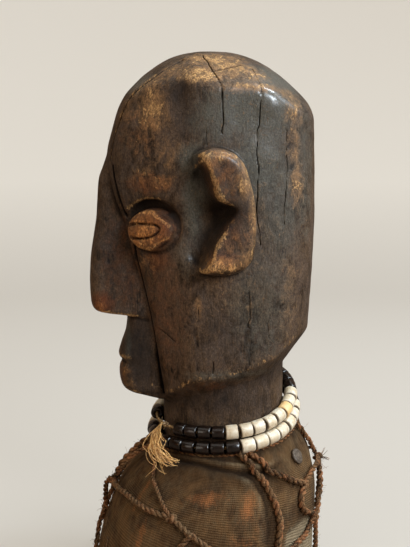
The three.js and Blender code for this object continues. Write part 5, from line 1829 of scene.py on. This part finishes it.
class FIGURE_OT_strings(bpy.types.Operator):
    """The bead strings with their knots, and the raffia tuft"""

    bl_idname = "figure.strings"
    bl_label = "Tie the strings and the tuft"

    def execute(self, context):
        sizes, look = settings()
        random = np.random.default_rng(5)
        for strand in (UPPER, LOWER):
            tubes = Tubes()
            knot = strand["knot"]
            line = strand_point(strand, np.linspace(knot, knot + 360, 220))
            twist(tubes, line, sizes.string_radius / MM * 1.25, 2.6, random, 5)
            centre = strand_point(strand, np.array(float(knot)))
            tubes.add(centre + knot_loop(36) * 0.62, 0.62, 6)
            for _ in range(8):
                fibre(tubes, centre, random.standard_normal(3), random.uniform(2, 4.5), 0.14, random)
            piece = tubes.piece(f"{strand['name']}_string")
            finish_piece(piece, material_named(look, "bead_straw"), "string", f"bead_string_{strand['name']}")
        self.tuft(random, look)
        return {"FINISHED"}

    def tuft(self, random, look):
        """Frayed golden fibres that fall from the knot over the beads."""
        tubes = Tubes()
        core = np.array(TUFT, float)
        for i in range(84):
            reach = random.uniform(0.45, 0.85) if i % 4 else random.uniform(0.85, 1.0)
            out = np.linspace(0, 1, 20)
            line = through(core, out * reach * (len(core) - 1))
            away = random.normal(0, 1, 3) * (1.0, 2.0, 1.5)
            line = line + away * (np.minimum(out * 1.6, 1) ** 1.5)[:, None]
            turns = random.uniform(7, 15) * out + random.uniform(0, 6)
            curl = random.uniform(0.4, 1.3) * out ** 0.8
            line[:, 1] += curl * np.sin(turns)
            line[:, 0] += 0.8 * curl * np.cos(turns)
            line[:, 2] += curl * np.sin(turns * 0.8 + 1)
            tubes.add(line, random.uniform(0.17, 0.32) * np.linspace(1, 0.7, 20), 4)
        for _ in range(6):
            way = np.array([0.05, random.uniform(-0.1, 0.5), -1])
            start = core[3] + random.normal(0, 1.2, 3)
            fibre(tubes, start, way, random.uniform(6, 11), 0.18, random, 0.8, 4, 12)
        piece = tubes.piece("golden_tuft")
        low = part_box("raffia_tuft")[0]
        points = points_of(piece)
        points[:, 2] = np.maximum(points[:, 2], low[2] / MM - 6)
        set_points(piece, points)
        finish_piece(piece, material_named(look, "golden_raffia"), "raffia", "raffia_tuft")


class FIGURE_OT_fastenings(bpy.types.Operator):
    """The round stud and the nail at the back of the left shoulder"""

    bl_idname = "figure.fastenings"
    bl_label = "Drive in the stud and the nail"

    def execute(self, context):
        _, look = settings()
        stud = self.driven("grey_stud", STUD)
        finish_piece(stud, material_named(look, "dull_stud"), "stud", "shoulder_stud")
        nail = self.driven("dark_nail", NAIL)
        finish_piece(nail, material_named(look, "old_iron"), "iron", "shoulder_nail")
        return {"FINISHED"}

    def driven(self, name, pin):
        """A headed pin that stands square to the cloth."""
        radius, height, lift = pin["radius"], pin["height"], pin["lift"]
        deselect_all()
        bpy.ops.mesh.primitive_cylinder_add(vertices=pin["sides"], radius=radius * MM, depth=height * MM,
                                            location=(0, 0, (lift + height / 2) * MM))
        piece = bpy.context.active_object
        piece.name = name
        bpy.ops.object.transform_apply(location=True, rotation=True, scale=True)
        select_faces(piece, lambda polygon: polygon.normal.z < -0.9)
        bpy.ops.mesh.inset(thickness=(radius - SHANK["radius"]) * MM, depth=0)
        bpy.ops.mesh.extrude_region_move(TRANSFORM_OT_translate={"value": (0, 0, -SHANK["length"] * MM)})
        bpy.ops.object.mode_set(mode="OBJECT")
        select_faces(piece, lambda polygon: polygon.normal.z > 0.9)
        for inset, rise in ((0.28, 0.12), (0.22, -0.04), (0.2, 0.03)):
            bpy.ops.mesh.inset(thickness=inset * radius * MM, depth=rise * radius * MM)
        leave_edit_mode()
        apply_modifier(piece, "BEVEL", width=0.06 * radius * MM, segments=2, limit_method="ANGLE")
        apply_modifier(piece, "SUBSURF", levels=1, render_levels=1)
        points = points_of(piece)
        points[:, 2] += 0.05 * radius * lumps(points * (1, 1, 0.4), 0.5 * radius, 71) * (points[:, 2] > lift)
        points[:, :2] *= (1 + 0.05 * lumps(points, radius, 72))[:, None]
        # Darker towards the cloth and down the shank: painted shade where the pin meets the cloth.
        keep_value(piece, "hollow", smooth_step(lift + 0.6 * height, lift, points[:, 2]))
        level, degrees = np.array([pin["level"]]), np.array([pin["angle"]])
        normal = Vector(wrap_normal(level, degrees)[0])
        foot = wrap_point(level, degrees, fold_height(level, degrees))[0]
        turn = np.array(normal.to_track_quat("Z", "Y").to_matrix())
        set_points(piece, points @ turn.T + foot)
        take(piece)
        bpy.ops.object.shade_smooth_by_angle(angle=math.radians(35))
        return piece


class FIGURE_OT_stage(bpy.types.Operator):
    """A pale floor that curves up all round, soft lights and the camera"""

    bl_idname = "figure.stage"
    bl_label = "Set the stage"

    def execute(self, context):
        sizes, look = settings()
        self.cove(sizes.cove_radius, material_named(look, "pale_plaster"))
        self.lights(look)
        self.camera(context)
        return {"FINISHED"}

    def cove(self, radius, material):
        """A floor with a wide soft curve up to a wall on every side."""
        deselect_all()
        bpy.ops.mesh.primitive_circle_add(vertices=96, radius=radius, fill_type="NGON",
                                          location=(0, 0, -COVE["below"]))
        piece = bpy.context.active_object
        piece.name = "pale_floor"
        edit_all(piece)
        curve, steps = COVE["curve"], COVE["steps"]
        for i in range(1, steps + 1):
            before, now = (i - 1) / steps * math.pi / 2, i / steps * math.pi / 2
            out = curve * (math.sin(now) - math.sin(before))
            rise = curve * (math.cos(before) - math.cos(now))
            reach = radius + curve * math.sin(before)
            bpy.ops.mesh.extrude_region_move(TRANSFORM_OT_translate={"value": (0, 0, rise)})
            grow = (reach + out) / reach
            bpy.ops.transform.resize(value=(grow, grow, 1))
        bpy.ops.mesh.extrude_region_move(TRANSFORM_OT_translate={"value": (0, 0, COVE["wall"])})
        bpy.ops.mesh.delete(type="ONLY_FACE")
        bpy.ops.object.mode_set(mode="OBJECT")
        bpy.ops.object.transform_apply(location=True, rotation=True, scale=True)
        bpy.ops.object.shade_smooth()
        piece.data.materials.append(material)

    def lamp(self, name, place, aim, size, power, tint):
        deselect_all()
        bpy.ops.object.light_add(type="AREA", location=place)
        lamp = bpy.context.active_object
        lamp.name = name
        lamp.data.shape = "RECTANGLE"
        lamp.data.size, lamp.data.size_y = size
        lamp.data.energy = power
        lamp.data.color = tint
        lamp.rotation_euler = (Vector(aim) - Vector(place)).to_track_quat("-Z", "Y").to_euler()
        return lamp

    def lights(self, look):
        aim = (0, 0, 0.17)
        power = look.window_power
        self.lamp("window_light", (0.30, 1.15, 0.95), aim, (0.6, 0.9), power, (0.84, 0.92, 1.0))
        self.lamp("high_light", (-0.06, 0.60, 1.25), aim, (0.22, 0.22), power * 0.7, (0.80, 0.92, 1.0))
        self.lamp("side_light", (1.15, 0.65, 0.66), aim, (0.55, 0.55), power * 0.8, (0.90, 0.95, 1.0))
        self.lamp("front_light", (0.75, -1.05, 0.45), aim, (0.7, 0.7), power * 0.26, (1.0, 0.90, 0.78))
        polish = self.lamp("polish_light", (0.927, 0.565, 0.843), aim, (0.4, 0.4), power * 2.0,
                           (0.80, 0.91, 1.0))
        polish.visible_diffuse = False
        world = bpy.data.worlds.new("room")
        world.use_nodes = True
        background = world.node_tree.nodes["Background"]
        background.inputs["Color"].default_value = (1.0, 0.935, 0.85, 1)
        background.inputs["Strength"].default_value = look.room_power
        bpy.context.scene.world = world

    def camera(self, context):
        """The photograph's place: a little in front of square to the left side, and a little above."""
        back, _, _ = view_axes()
        bpy.ops.object.camera_add(location=(Vector(VIEW["target"]) + back * VIEW["distance"]) * MM)
        camera = context.active_object
        camera.name = "camera"
        camera.rotation_euler = (-back).to_track_quat("-Z", "Y").to_euler()
        camera.data.sensor_width = 36
        camera.data.lens = 36 * PHOTO["focal"] / PHOTO["height"]
        camera.data.clip_start = 0.01
        context.scene.camera = camera
        context.scene.view_settings.view_transform = "Standard"


STEPS = ("stage", "carving", "cloth", "net", "beads", "strings", "fastenings")


class FIGURE_PT_panel(bpy.types.Panel):
    """The figure's pieces, sizes and colours"""

    bl_label = "Carved figure"
    bl_idname = "FIGURE_PT_panel"
    bl_space_type = "VIEW_3D"
    bl_region_type = "UI"
    bl_category = "Figure"

    def draw(self, context):
        for step in STEPS:
            self.layout.operator(f"figure.{step}")
        figure = context.scene.carved_figure
        for group in (figure.sizes, figure.look):
            box = self.layout.box()
            for name in group.__annotations__:
                box.prop(group, name)


CLASSES = (FigureSizes, FigureLook, FigureSettings, FIGURE_OT_stage, FIGURE_OT_carving,
           FIGURE_OT_cloth, FIGURE_OT_net, FIGURE_OT_beads, FIGURE_OT_strings, FIGURE_OT_fastenings,
           FIGURE_PT_panel)


def register():
    for item in CLASSES:
        bpy.utils.register_class(item)
    bpy.types.Scene.carved_figure = PointerProperty(type=FigureSettings)


def unregister():
    del bpy.types.Scene.carved_figure
    for item in reversed(CLASSES):
        bpy.utils.unregister_class(item)


def main():
    register()
    for step in STEPS:
        getattr(bpy.ops.figure, step)()
    deselect_all()


if __name__ == "__main__":
    main()
